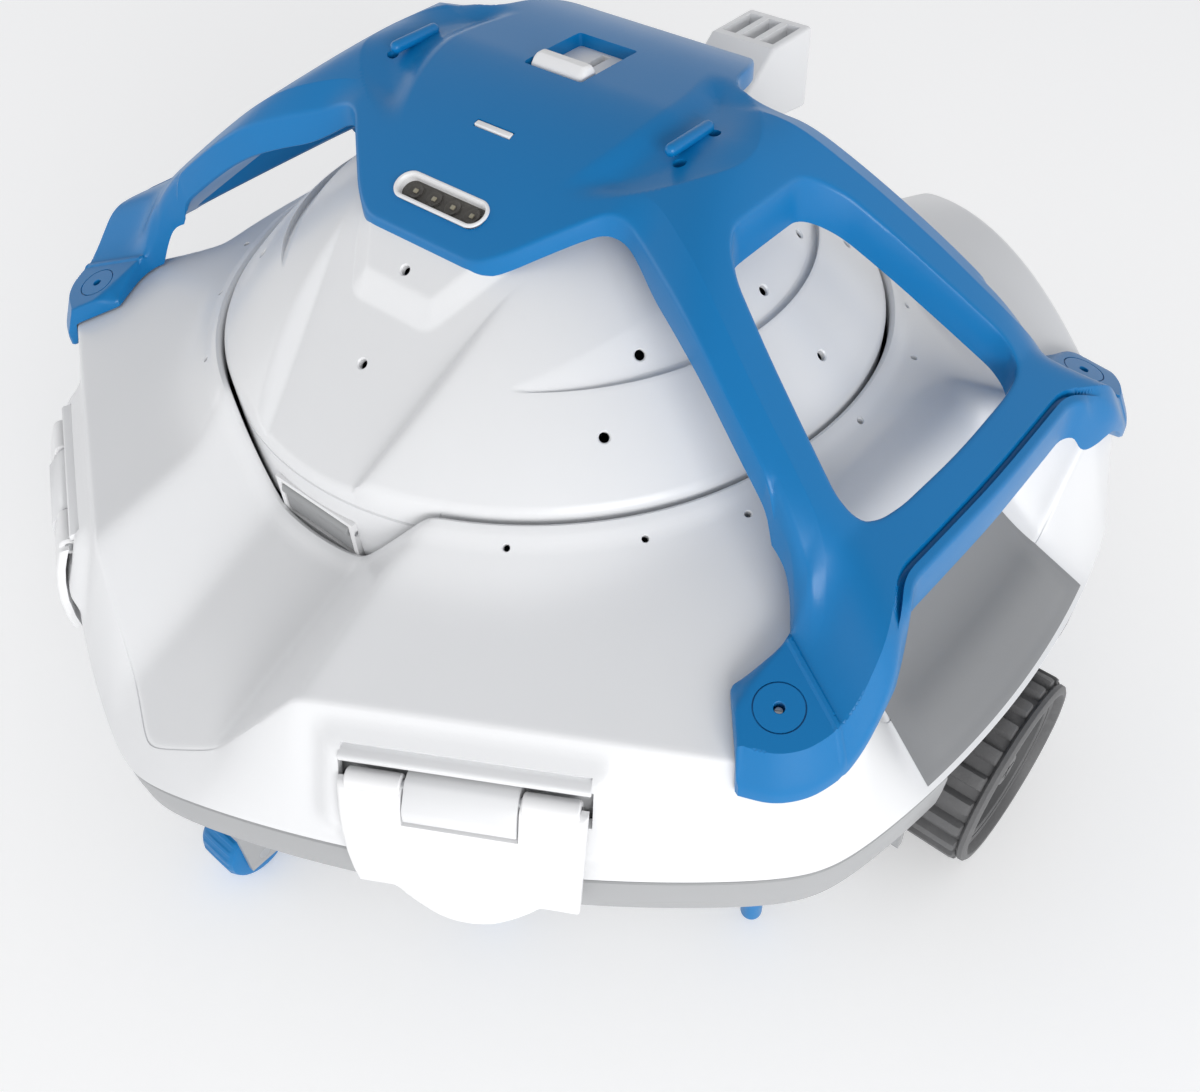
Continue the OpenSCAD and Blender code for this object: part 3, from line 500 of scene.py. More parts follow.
# The material that each kind of CAD node carries where it still shows.
CARRIED = {
    STEEL: ["latch_pins", "axle_stubs", "roller_pins", "drive_motor", "motor_shaft",
            "flap_pins", "intake_pins", "ballast_weights", "pod_screws"],
    RUBBER: ["base_seal", "pod_seal", "shaft_seal", "intake_flap_front", "intake_flap_back",
             "charge_plug"],
    BASE: ["wheel_wells", "roller_forks", "pod_housing", "pod_lid", "intake_port"],
    TRIM: ["outlet_ducts", "nozzle_seat", "pump_ring", "filter_frame", "wheel_bush_right",
           "wheel_bush_left"],
    BOARD: ["control_board"],
    CELLS: ["battery_cells"],
    CLOTH: ["filter_mesh"],
    WHEEL: ["impeller"],
}


def piece(obj, mat, body, nodes, angle=32):
    """Finishes a piece: its material, smooth shading, the body it rides on and the nodes it stands for."""
    if mat is not None:
        obj.data.materials.clear()
        obj.data.materials.append(mat)
        obj.data.polygons.foreach_set("material_index", np.zeros(len(obj.data.polygons), np.int32))
    bm = bmesh.new()
    bm.from_mesh(obj.data)
    bmesh.ops.remove_doubles(bm, verts=bm.verts, dist=2e-6)
    bmesh.ops.dissolve_degenerate(bm, dist=2e-6, edges=bm.edges)
    for f in bm.faces:
        f.smooth = True
    for e in bm.edges:
        e.smooth = len(e.link_faces) == 2 and e.calc_face_angle(0) < math.radians(angle)
    bm.to_mesh(obj.data)
    bm.free()
    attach(obj, body)
    if nodes:
        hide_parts(*nodes)
    return obj


# ---- hull shells ----
SHELL_VENTS = [(67, 94), (94, 68), (110.5, 44), (115, 5)]
DOME_VENTS = [(73.5, 60), (68.5, 38.5), (97.5, 9.5), (77.5, 7), (0, 60), (0, 81)]
LATCH_TURNS = {"front_right": (-60.27, 1), "front_left": (-119.73, -1),
               "back_left": (119.73, 1), "back_right": (60.27, -1)}
LATCH_SHIFT = 10.5
LATCH_HALF = 33.5
TAB_HALF = 15.3
PIN_D, PIN_Z = 170.6, 101.0


def mirrored_places(places):
    """Each place in all four quarters, once; one near the middle line only on its two sides."""
    every = [(sx * x, sy * y) for x, y in places for sx, sy in QUARTERS if y > 12 or sy > 0]
    return sorted(set(every))


def surface_normal(height, x, y):
    e = 0.5
    dx = float(height(np.array(x + e), np.array(y)) - height(np.array(x - e), np.array(y))) / (2 * e)
    dy = float(height(np.array(x), np.array(y + e)) - height(np.array(x), np.array(y - e))) / (2 * e)
    return Vector((-dx, -dy, 1)).normalized()


def square_to(height, x, y):
    """Places a solid modelled about Z on a surface, square to it."""
    x, y = float(x), float(y)
    z = float(height(np.array(x), np.array(y)))
    return moved(x, y, z) @ surface_normal(height, x, y).to_track_quat("Z", "Y").to_matrix().to_4x4()


def on_foot(sx, sy):
    return square_to(foot_plane, sx * FOOT_X, sy * FOOT_Y)


def on_lamp():
    """The lamp's place in the slope of the hub."""
    return moved(0, LED_Y, float(hub_height(LED_Y))) @ turned(LED_TILT, "X")


def vent_cutters(height, places, r, lip):
    """Small countersunk holes square to a surface, right through the skin."""
    for x, y in places:
        hole = lathe("vent", [(0, -4.5), (r, -4.5), (r, -lip), (r + lip, 0.05), (r + lip, 1.2), (0, 1.2)], 28)
        yield transform(hole, square_to(height, x, y))


def on_side(obj, name):
    """Moves a solid modelled in (outward, along, up) to one of the slanted sides."""
    angle, hand = LATCH_TURNS[name]
    return transform(obj, turned(angle, "Z") @ moved(0, hand * LATCH_SHIFT, 0))


def latch_along(turn):
    """How far along its side of the hull each direction is from the middle of the nearest latch."""
    best = np.full(len(turn), 999.0)
    for angle, hand in LATCH_TURNS.values():
        t = turn - math.radians(angle)
        near = np.cos(t) > 0.5
        run = 166 * np.tan(np.where(near, t, 0)) - hand * LATCH_SHIFT
        best = np.where(near, np.minimum(best, abs(run)), best)
    return best


def along_side(profile, half):
    """A profile in (outward, up) spread along a side from -half to half."""
    obj = prism("spread", profile, -half, half)
    return transform(obj, turned(90, "X"))


def directions():
    """The angles round the hull, with their cosines and sines."""
    a = np.arange(ROUND) * 2 * math.pi / ROUND
    return a, np.cos(a), np.sin(a)


def loop_at(r, c, s, z):
    """A ring of points at radius r and height z, from the cosines and sines of its angles."""
    return np.column_stack([r * c, r * s, z + 0 * c])


def upper_shell():
    a, c, s = directions()
    rc, rr = crease_r(c, s), rim_r(c, s)
    lip = 1.6

    def at(r, drop=0.0):
        return loop_at(r, c, s, top_z(r * c, r * s) - drop)

    zc = at(rc)[:, 2]
    rings = []
    for turn in (0, 30, 60):
        t = math.radians(turn)
        r = HOLE_R + lip * (1 - math.cos(t))
        ring = at(HOLE_R + lip + 0 * a, 0)
        rings.append(loop_at(r, c, s, ring[:, 2] + 1.2 - lip * (1 - math.sin(t))))
    for out, add in ((lip, 1.2), (lip + 1.2, 1.15), (lip + 2.2, 0.9), (lip + 3.4, 0.45), (lip + 5, 0.0)):
        ring = at(HOLE_R + out + 0 * a)
        ring[:, 2] += add
        rings.append(ring)
    start = HOLE_R + lip + 5
    for t in np.linspace(0, 1, 46)[1:-1]:
        rings.append(at(start + (rc - 1.2 - start) * t))
    for t, sink in ((0.0, 0.0), (0.5, 0.12), (1.0, 0.45)):
        rings.append(at(rc - 1.2 * (1 - t), sink))
    height = zc - JOINT_Z
    along = latch_along(a)

    def wall(t, inward=0.0):
        z = zc - height * t
        beside = 1 - step(along, LATCH_HALF + 1.5, LATCH_HALF + 11)
        pad = 4.6 * beside * (1 - step(z, 106.5, 114)) * step(z, 76, 88)
        r = rc + (rr - rc) * t - inward + pad
        return loop_at(r, c, s, z)

    for t in np.concatenate([[0.02, 0.045], np.linspace(0.08, 0.93, 26), [0.96, 0.985]]):
        rings.append(wall(t, 0.28 * math.exp(-t / 0.015)))
    rings.append(wall(0.997, 0.2))
    rings.append(wall(1.0, 0.6))
    rings.append(wall(1.0, WALL))
    for t in (0.8, 0.5, 0.2):
        rings.append(wall(t, WALL))
    for t in (0.95, 0.8, 0.6, 0.4, 0.2, 0.08):
        r = np.maximum(HOLE_R + 2, HOLE_R + (rc - HOLE_R) * t - WALL)
        rings.append(at(r, WALL + 0.5))
    low = rings[0].copy()
    low[:, 2] -= 6
    rings += [loop_at(HOLE_R + 1.5, c, s, low[:, 2]), low]
    shell = rings_object("upper_shell_moulding", rings)
    cutters = list(vent_cutters(skin_z, mirrored_places(SHELL_VENTS), 1.0, 0.25))
    for name in LATCH_TURNS:
        cutters.append(on_side(along_side([(163.6, 95), (200, 95), (200, 105.4), (163.6, 105.4)],
                                          LATCH_HALF + 0.6), name))
        notch = along_side([(164.6, 107.7), (180, 107.7), (180, 110.9), (165.4, 110.1)], LATCH_HALF)
        cutters.append(on_side(notch, name))
    cut(shell, cutters)
    piece(shell, WHITE, "hull", ["upper_shell"])


def painted_shade_sheet(s, name):
    """The dark sheet of painted shade in a scoop, where the outer bar shades it, from under the outer bar
    down to the rim, a little proud of the shell.
    """
    turn = np.radians(np.linspace(-15.1, 15.1, 81))
    c, d = np.cos(turn), np.sin(turn)
    rc, rr = crease_r(c, d), rim_r(c, d)
    side = step(15.1 - np.degrees(abs(turn)), 0, 3.5)
    top, low = [], []
    for t in np.concatenate([np.linspace(0, 0.42, 14), np.linspace(0.45, 1, 30)]):
        r = 146 + (rr - 1.6 - 146) * t
        x, y = r * c, r * d
        swell = 2.3 * np.exp(-((r - rc - 6) / 8.5) ** 2) * side * step(rr - r, 1.4, 7)
        end = 0.25 * (1 - step(t, 0.97, 1)) * (0.3 + 0.7 * step(side, 0, 0.2))
        z = skin_z(x, y) + 0.12 + end + swell
        top.append(np.column_stack([s * x, y, z]))
        low.append(np.column_stack([s * x, y, skin_z(x, y) - 0.8]))
    obj = sheet_object(name, top, low)
    piece(obj, PAINTED_SHADE, "hull", [])


def step_outline():
    """The edge of the raised tongue in the dome in front of the hub, as (x, y) of the front half."""
    right = [(16, 68.5, 3.5), (29.5, 50, 10), (36, 30, 4), (36, 0, 0)]
    left = [(-x, y, r) for x, y, r in right[::-1]]
    return rounded_path(right + left)


def dome_height(x, y):
    """The dome's surface with its raised steps and side crescents."""
    z = domed_z(x, y)
    shape = np.shape(x)
    flat = np.column_stack([np.ravel(x), abs(np.ravel(y))])
    loop = resampled(step_outline(), 2.0)
    near = (np.hypot(*flat.T) < 80) & (flat[:, 1] > 20)
    lift = np.zeros(len(flat))
    if near.any():
        d = distance(flat[near], loop) * np.where(inside(flat[near], loop), 1, -1)
        ramp = smin(smax(d / 5.2, 0 * d, 0.03), 1 + 0 * d, 0.05)
        lift[near] = 3.6 * ramp
    r = np.hypot(x, y)
    turn = np.degrees(np.arctan2(abs(y), abs(x)))
    edge = 84.0
    width = np.maximum(15.5 * (1 - (turn / 55) ** 2), 0.01)
    deep = 3.8 * np.minimum(1, width / 11)
    dip = deep * np.clip((r - edge + width) / width, 0, 1) ** 1.3 * (1 - step(r, edge, edge + 0.9))
    return z + lift.reshape(shape) - np.where(turn < 55, dip, 0)


def dome_cover():
    a, c, s = directions()
    hole, skirt_low = 24.0, 124.0
    edge = DOME_R - 0.25
    across = abs(DOME_R * c)
    nose = step(47 - across, 0, 3)

    def at(r, sink=0.0):
        return loop_at(r, c, s, dome_height(r * c, r * s) - sink)

    def ring(r, z):
        return loop_at(r, c, s, z)

    rings = [at(hole + 0 * a)]
    radii = np.concatenate([np.linspace(30, 48, 14), np.linspace(48.5, 83.6, 80), np.linspace(83.9, 85.1, 5),
                            np.linspace(86, 104, 20), np.linspace(104.6, 107.2, 6)])
    rings += [at(r + 0 * a) for r in radii]
    rim = at(DOME_R + 0 * a)[:, 2]
    low = np.where(across < 17.9, skirt_low, DOME_Z - 8 - (DOME_Z - 8 - 110.6) * nose)
    groove = np.minimum(rim - 1.6, 131.8) * nose + (rim - 1.6) * (1 - nose)
    depth = 0.7 * nose
    for r, z in [(DOME_R - 0.75, rim + 0.35), (edge, rim - 0.7), (edge, groove + 0.35),
                 (edge - depth, groove + 0.1), (edge - depth, groove - 0.5), (edge, groove - 0.75),
                 (edge, (groove + low) / 2), (edge, low + 0.4), (edge - 0.4, low), (edge - 2.2, low),
                 (edge - 2.4, np.minimum(rim - 3, groove - 1))]:
        rings.append(ring(r, z))
    rings += [at(r + 0 * a, 2.6) for r in (104, 95, 85, 75, 60, 45, 30, hole)]
    dome = rings_object("dome_cover_moulding", rings)
    cutters = list(vent_cutters(dome_height, mirrored_places(DOME_VENTS), 1.5, 0.45))
    cutters.append(transform(rod("stem_hole", 11.3, 120, 170), moved(0, NOZZLE_STEM_Y, 0)))
    cutters.append(transform(prism("lamp_room", oblong(LED_HALF, LED_R - 0.2), -14, 8), on_lamp()))
    cut(dome, cutters)
    piece(dome, WHITE, "hull", ["dome_cover"])


def base_shell():
    _, c, s = directions()
    rr = rim_r(c, s)

    # Each ring of the wall is (share of the rim's radius, distance inwards, height).
    outer = [(1, 1.0, 72.4), (1, 0.5, 72.0), (1, 0.4, 71), (1, 0.8, 64), (1, 1.5, 57.4), (1, 1.9, 56.2),
             (1, 3.4, 55.4), (1, 5.6, 55.0), (1, 6.4, 54.2), (1, 6.9, 51), (0.985, 6.8, 47), (0.95, 6.5, 40),
             (0.9, 6, 32), (0.86, 4, 26.5), (0.83, 2.5, 22.8), (0.8, 1.2, 20.6), (0.775, 0.5, 20),
             (0.6, 0, 20), (0.595, 0, 20.9), (0.575, 0, 20.9), (0.57, 0, 20), (0.45, 0, 20),
             (0.445, 0, 20.9), (0.425, 0, 20.9), (0.42, 0, 20)]
    mouth = [(47, 20), (40.2, 20), (40.2, 23)]
    inner = [(0.78, 1, 23), (0.9, 10, 35), (1, 10, 54), (1, 8, 72.4)]
    rings = [loop_at(rr * k - inward, c, s, z) for k, inward, z in outer]
    rings += [loop_at(r, c, s, z) for r, z in mouth]
    rings += [loop_at(rr * k - inward, c, s, z) for k, inward, z in inner]
    base = rings_object("base_shell_moulding", rings)
    well_x0, well_y, well_top = 151.7, 40.3, 72.3
    cutters = []
    for side in (-1, 1):
        xs = sorted((side * well_x0, side * 215))
        cutters.append(block("well", (xs[0], -well_y, 0), (xs[1], well_y, well_top)))
        cutters.append(block("fork", (-13.2, side * 170 - 8.2, 12), (13.2, side * 170 + 8.2, 56)))
    for sx, sy in QUARTERS:
        for x, y in STUD_PLACES:
            cutters.append(transform(rod("stud", 3.6, 0, 60), moved(sx * x, sy * y, 0)))
    cut(base, cutters)
    piece(base, BASE, "hull", ["base_shell"])


# ---- lifting frame ----
EYE_X, EYE_HALF = 54.0, 8.4
LED_Y, LED_HALF, LED_R, LED_TILT = -43.0, 13.0, 4.1, 23.0
PIPE_Y, SWITCH_Y = -20.0, 14.0
SWITCH_PLAN = [(-11.5, -8.6), (11.5, -8.6), (11.5, 17), (-11.5, 17)]
FOOT_EDGE = [(150.3, 102.3, 1.0), (159, 98.5, 4), (165.2, 92, 4), (168.9, 83, 5), (170, 73, 4), (169, 62, 5),
             (165, 52, 5), (160.5, 44, 4)]
ARM = [(46, 34, 3), (50, 30, 3), (56, 28.5, 4), (62, 30.5, 4), (71, 35), (91, 44.5), (108, 51),
       (123, 55.5), (135, 59.5, 5), (141, 66.5, 5), (141, 73, 5), (136, 86, 1.2)]
QUARTER = ARM + FOOT_EDGE + [(161, 24, 9), (161.5, 0, 12)]
FRONT = [(0, 54, 2), (22, 54, 4), (30, 49, 6)]
BACK = [(0, 65, 2), (24, 65, 4), (32, 62, 5), (42, 48)]
WINDOW = [(81, 0, 8), (81, 15, 3), (84, 20, 4), (90, 25.5, 4), (105, 32, 8), (123, 38.5, 8), (136, 43, 5),
          (142, 42, 4), (145, 37, 4), (146.5, 28, 8), (147.5, 0, 12)]


def facing(points, sx, sy):
    return [(p[0] * sx, p[1] * sy) + tuple(p[2:]) for p in points]


def frame_outline():
    loop = (facing(FRONT + QUARTER, 1, -1) + facing(BACK + QUARTER, 1, 1)[::-1]
            + facing(BACK + QUARTER, -1, 1) + facing(FRONT + QUARTER, -1, -1)[::-1])
    return resampled(rounded_path(tidy_corners(loop)), 1.25)


def frame_window(s):
    loop = facing(WINDOW, s, -1)[::-1] + facing(WINDOW, s, 1)
    return resampled(rounded_path(tidy_corners(loop)), 1.25)


def tidy_corners(loop):
    """Drops a corner that repeats the one before it, as on a mirror line."""
    keep = []
    for i, p in enumerate(loop):
        q = loop[i - 1]
        if math.hypot(p[0] - q[0], p[1] - q[1]) > 1e-6:
            keep.append(p if len(p) == 3 else p + (1e9,))
    return keep


def hollow_inner(y):
    return 41 - 8 * ((y - 7) / 32) ** 2


def hollow_outer(y):
    return 71 - 22 * (abs(y - 3) / 28) ** 2.2


def hollow(x, y):
    """How far the surface sinks in the lens-shaped hollows on the hub's shoulders."""
    rise = step(abs(x) - hollow_inner(y), -0.6, 9)
    fade = np.clip((hollow_outer(y) - abs(x)) / 13, 0, 1) ** 0.85
    ends = step(y, -31, -18) * (1 - step(y, 22, 34))
    return 2.8 * rise * fade * ends


def foot_path():
    """The outer edge of the front right foot, out and back."""
    path = rounded_path(facing(FOOT_EDGE, 1, -1) + facing(FOOT_EDGE[::-1], 1, -1)[1:-1])
    return resampled(path, 1.2)


def frame_surface(x, y, edge, pane):
    """The frame's top, from how far each point is from the outline and from a window."""
    z = frame_top(x, y) - hollow(x, y)
    bar = (1 - step(abs(y), 50, 58)) * step(abs(x), 148, 151)
    arm = step(abs(x), 50, 66) * (1 - step(abs(x), 137, 142))
    z = z - arm * 0.44 * np.maximum(0, 7.4 - edge)
    z = z - bar * 2.3 * step(edge, 2.6, 2.9) * (1 - step(edge, 4.3, 4.6))
    foot = (abs(x) > 130) & (abs(y) > 42)
    if foot.any():
        band = np.full(len(x), 99.0)
        band[foot] = distance(np.column_stack([abs(x[foot]), -abs(y[foot])]), foot_path())
        z = z - 1.9 * np.maximum(0, 4.8 - band) * step(abs(y), 46, 70)
    r = 1.1
    for d in (edge, pane):
        t = np.clip(r - d, 0, r)
        z = z - (r - np.sqrt(r * r - t * t))
    return z


def frame_under(x, y, edge, pane):
    depth = 6.2 + 6.8 * step(abs(x), 44, 74)
    z = frame_top(x, y) - depth - 0.9 * step(abs(x), 50, 66)
    lift = 0.8 * (1 - step(np.minimum(edge, pane), 0, 0.9))
    return np.maximum(np.maximum(z + lift, under_z(x, y) + 0.8), 107)


def crease_points():
    """Rows of points beside each crease of the frame, in one quarter and its mirrors."""
    rows = []
    ys = np.arange(-31, 34.1, 1.1)
    for d in (-0.9, -0.3, 0.6, 2.2, 4.2, 6.5, 9):
        rows.append(np.column_stack([hollow_inner(ys) + d, ys]))
    ys = np.arange(-31, 31.1, 1.0)
    for d in (-13, -9, -6, -3.4, -1.6, -0.5, 0, 0.4, 1.5):
        x = hollow_outer(ys) + d
        rows.append(np.column_stack([x, ys])[x > hollow_inner(ys) + 9.5])
    hub = np.vstack(rows)
    hub = np.vstack([hub, hub * (-1, 1)])
    rows = []
    for q in (-2.3, -1.95, -1.6, -1.1, -0.6, -0.3, 0.0, 0.5, 1.5):
        run = np.arange(-6, 34, 1.1)
        rows.append(np.column_stack([142 + 0.902 * run + 0.4315 * q, 68.5 + 0.4315 * run - 0.902 * q]))
    path = foot_path() * (1, -1)
    half = path[:len(path) // 2 + 1]
    d = np.gradient(half, axis=0)
    n = np.column_stack([d[:, 1], -d[:, 0]]) / np.hypot(*d.T)[:, None]
    for sign in (-1, 1):
        for amount in (4.5, 4.8, 5.1):
            near = half + n * amount * sign
            rows.append(near[distance(near, path) > amount - 0.05])
    foot = np.vstack(rows)
    return np.vstack([hub] + [foot * (sx, sy) for sx in (-1, 1) for sy in (-1, 1)])


def far_from(points, others, gap):
    """The points that are at least gap away from all of the others."""
    tree = KDTree(len(others))
    for i, p in enumerate(others):
        tree.insert((p[0], p[1], 0), i)
    tree.balance()
    keep = [tree.find((p[0], p[1], 0))[2] >= gap for p in points]
    return points[np.array(keep)]


def thinned(points, gap):
    """The points with any that come within gap of an earlier one left out."""
    cells, keep = {}, []
    for i, (x, y) in enumerate(points):
        cx, cy = int(x // gap), int(y // gap)
        near = [j for a in (-1, 0, 1) for b in (-1, 0, 1) for j in cells.get((cx + a, cy + b), [])]
        if all(math.hypot(points[j][0] - x, points[j][1] - y) >= gap for j in near):
            cells.setdefault((cx, cy), []).append(i)
            keep.append(i)
    return points[keep]


def lifting_frame():
    outer = frame_outline()
    panes = [frame_window(s) for s in (-1, 1)]
    loops = [outer] + panes
    rows = [inset(outer, d) for d in (0.3, 0.7, 1.1, 1.8, 2.6, 2.9, 3.6, 4.3, 4.6, 5.8, 7.15, 7.4, 7.65)]
    rows += [inset(p, -d) for p in panes for d in (0.3, 0.7, 1.1, 2.0)]
    creases = crease_points()
    creases = creases[inside(creases, outer) & ~inside(creases, panes[0]) & ~inside(creases, panes[1])]
    creases = creases[np.minimum.reduce([distance(creases, l) for l in loops]) > 0.6]
    creases = thinned(creases, 0.22)
    rows = thinned(far_from(np.vstack(rows), creases, 0.35), 0.16)
    gx, gy = np.meshgrid(np.arange(-171, 171, 1.9), np.arange(-104, 104, 1.9))
    grid = np.column_stack([gx.ravel() + np.where(np.indices(gx.shape)[0].ravel() % 2, 0.95, 0), gy.ravel()])
    grid = grid[inside(grid, outer) & ~inside(grid, panes[0]) & ~inside(grid, panes[1])]
    grid = far_from(grid, np.vstack(loops + [rows, creases]), 1.05)
    points = np.vstack(loops + [rows, creases, grid])
    edges, start = [], 0
    for l in loops:
        n = len(l)
        edges += [(start + i, start + (i + 1) % n) for i in range(n)]
        start += n
    co, _, tris, _, _, _ = delaunay_2d_cdt([Vector(p) for p in points], edges, [], 0, 1e-4)
    co = np.array([tuple(p) for p in co])
    tris = np.array([t for t in tris if len(t) == 3])
    mid = co[tris].mean(1)
    good = inside(mid, outer) & ~inside(mid, panes[0]) & ~inside(mid, panes[1])
    tris = tris[good]
    used = np.unique(tris)
    index = -np.ones(len(co), int)
    index[used] = np.arange(len(used))
    co, tris = co[used], index[tris]
    x, y = co.T
    edge = distance(co, outer)
    pane = np.minimum(distance(co, panes[0]), distance(co, panes[1]))
    top = np.column_stack([x, y, frame_surface(x, y, edge, pane)])
    under = np.column_stack([x, y, frame_under(x, y, edge, pane)])
    under[:, 2] = np.minimum(under[:, 2], top[:, 2] - 1.2)
    n = len(co)
    count = {}
    for t in tris:
        for i in range(3):
            e = (int(t[i]), int(t[(i + 1) % 3]))
            count[e] = count.get(e, 0) + 1
    rims = [e for e in count if (e[1], e[0]) not in count]
    faces = [tuple(t) for t in tris] + [tuple(t[::-1] + n) for t in tris]
    faces += [(b, a, a + n, b + n) for a, b in rims]
    body = mesh_object("lifting_frame", np.vstack([top, under]), faces)
    lamp_slot = transform(prism("lamp_slot", oblong(LED_HALF, LED_R + 0.5), -12, 8), on_lamp())
    pipe_slot = block("pipe_slot", (-7.3, PIPE_Y - 1.3, 190), (7.3, PIPE_Y + 1.3, 225))
    well = prism("switch_well", switch_plan(0.05), HUB_Z - 12, 225)
    cutters = [lamp_slot, pipe_slot, well]
    for s in (-1, 1):
        for t in (-1, 1):
            cutters.append(transform(rod("eye_hole", 1.9, HUB_Z - 20, HUB_Z + 6, 24),
                                     moved(s * (EYE_X + 2.6), 1 + t * 7.6, 0)))
    for sx, sy in QUARTERS:
        ring = lathe("foot_groove", [(6.4, 2), (6.4, -0.6), (6.8, -0.6), (6.8, 2)], 72)
        bore = lathe("foot_bore", [(0, -4.4), (1.5, -4.4), (1.5, -0.2), (1.75, 0.05), (1.75, 3), (0, 3)], 40)
        cutters += [transform(tool, on_foot(sx, sy)) for tool in (ring, bore)]
    cut(body, cutters)
    bars = []
    for s in (-1, 1):
        length = EYE_HALF - 0.5
        arc = [(1.9 * math.cos(t), 1.9 * math.sin(t)) for t in np.linspace(-math.pi / 2, math.pi / 2, 9)]
        bar = lathe("eye_bar", [(0, -length - 1.9)] + [(max(r, 0.001), -length + h) for r, h in arc[:5]]
                    + [(1.9, 0)] + [(max(r, 0.001), length + h) for r, h in arc[4:]], 32)
        bars.append(transform(bar, moved(s * EYE_X, 1, HUB_Z - 2.2) @ turned(90, "X")))
    whole = joined("lifting_frame", [body] + bars)
    piece(whole, BLUE, "hull", ["handle_frame"], angle=28)


def foot_screws():
    """A small screw deep in the hole of each foot, square to the foot's top."""
    profile = [(0, -9), (0.9, -9), (0.9, -4.3), (1.4, -4.3), (1.4, -3.2), (1.0, -2.8), (0, -2.8)]
    screws = []
    for sx, sy in QUARTERS:
        head = lathe("screw", profile, 32)
        cut(head, [block("drive", (-0.9, -0.2, -3.3), (0.9, 0.2, -2))])
        screws.append(transform(head, on_foot(sx, sy)))
    piece(joined("foot_screw_set", screws), STEEL, "hull", ["foot_screws"])


# ---- latches ----
def latch_face(s, z):
    """How far out the face of a latch is at (along, up)."""
    z = np.asarray(z, float)
    curve = np.interp(z, [56, 65, 72, 80, 88, 94, 98, 101, 104.4],
                      [181.4, 181.6, 181.7, 181.0, 179.2, 177.2, 175.4, 173.9, 171.8])
    reach = 20.5 * np.clip((80 - z) / 16, 0.05, 1)
    bulge = np.clip(1 - (s / reach) ** 2, 0, 1)
    return curve + 3.9 * bulge * np.clip((80 - z) / 21, 0, 1) ** 1.5


def latch_panel():
    spread = np.sin(np.linspace(-math.pi / 2, math.pi / 2, 121))
    rise = (1 - np.cos(np.linspace(0, math.pi, 61))) / 2
    low = 65.5 - 8.2 * np.clip(1 - (spread * 31 / 20.5) ** 2, 0, 1) ** 0.9
    high = 101.9
    round_r = 1.5
    front, back = [], []
    for v in rise:
        z = high + (low - high) * v
        half = LATCH_HALF - 2.2 * v ** 1.5
        s = spread * half
        side = np.maximum(0, half - abs(s))
        end = np.minimum((high - z), (z - low))
        e = np.minimum(side, end)
        t = np.clip(round_r - e, 0, round_r)
        drop = round_r - np.sqrt(round_r ** 2 - t * t)
        d = latch_face(s, z)
        thick = 2.8
        front.append(np.column_stack([d - drop, s, z]))
        back.append(np.column_stack([d - thick, s, z]))
    panel = sheet_object("latch_panel", front, back)
    notch = block("notch", (160, -TAB_HALF - 0.5, PIN_Z - 8.3), (190, TAB_HALF + 0.5, 110))
    cut(panel, [notch])
    return panel


def latch(name):
    parts = [latch_panel()]
    for t in (-1, 1):
        length = LATCH_HALF - TAB_HALF - 3.0
        mid = t * (TAB_HALF + 0.9 + length / 2)
        barrel = lathe("barrel", [(1.6, -length / 2), (2.7, -length / 2), (3.1, -length / 2 + 0.4),
                                  (3.1, length / 2 - 0.4), (2.7, length / 2), (1.6, length / 2)], 48)
        parts.append(transform(barrel, moved(PIN_D, mid, PIN_Z) @ turned(90, "X")))
    hook = along_side([(179.4, 67), (180.6, 67), (180.6, 60.2), (174.8, 60.2), (174.8, 64.2), (179.4, 64.2)],
                      12)
    parts.append(bevelled(hook, 0.4, 2))
    whole = joined("latch_" + name + "_moulding", parts)
    on_side(whole, name)
    piece(whole, TRIM, "latch_" + name, ["latch_" + name])


def latch_brackets():
    parts = []
    for name in LATCH_TURNS:
        ledge = along_side([(163, 105.4), (168.2, 105.4), (168.9, 105.8), (168.8, 107.1), (168.0, 107.7),
                            (163, 107.9)], LATCH_HALF + 0.2)
        tab = along_side([(163.4, 93.3), (176.4, 93.3), (177.2, 93.9), (177.1, 96.5), (176.5, 98.4),
                          (171.8, 103.0), (170.6, 103.6), (163.4, 103.6)], TAB_HALF)
        back = along_side([(162.4, 90), (165.2, 90), (165.2, 106), (162.4, 106)], LATCH_HALF + 2.4)
        parts += [on_side(bevelled(o, 0.3, 2), name) for o in (ledge, tab)] + [on_side(back, name)]
    whole = joined("latch_bracket_mouldings", parts)
    piece(whole, WHITE, "hull", ["latch_brackets"])


# ---- wheels and rollers ----
WHEEL_R, WHEEL_OUT, WHEEL_W = 34.0, 192.0, 25.0
LUGS = 22


def wheel_on_axle(obj, s):
    """Turns a wheel modelled about Z, its outer face up, so that it faces sideways on the axle."""
    return transform(obj, moved(0, 0, WHEEL_R) @ Matrix.Scale(s, 4, (1, 0, 0)) @ turned(90, "Y"))


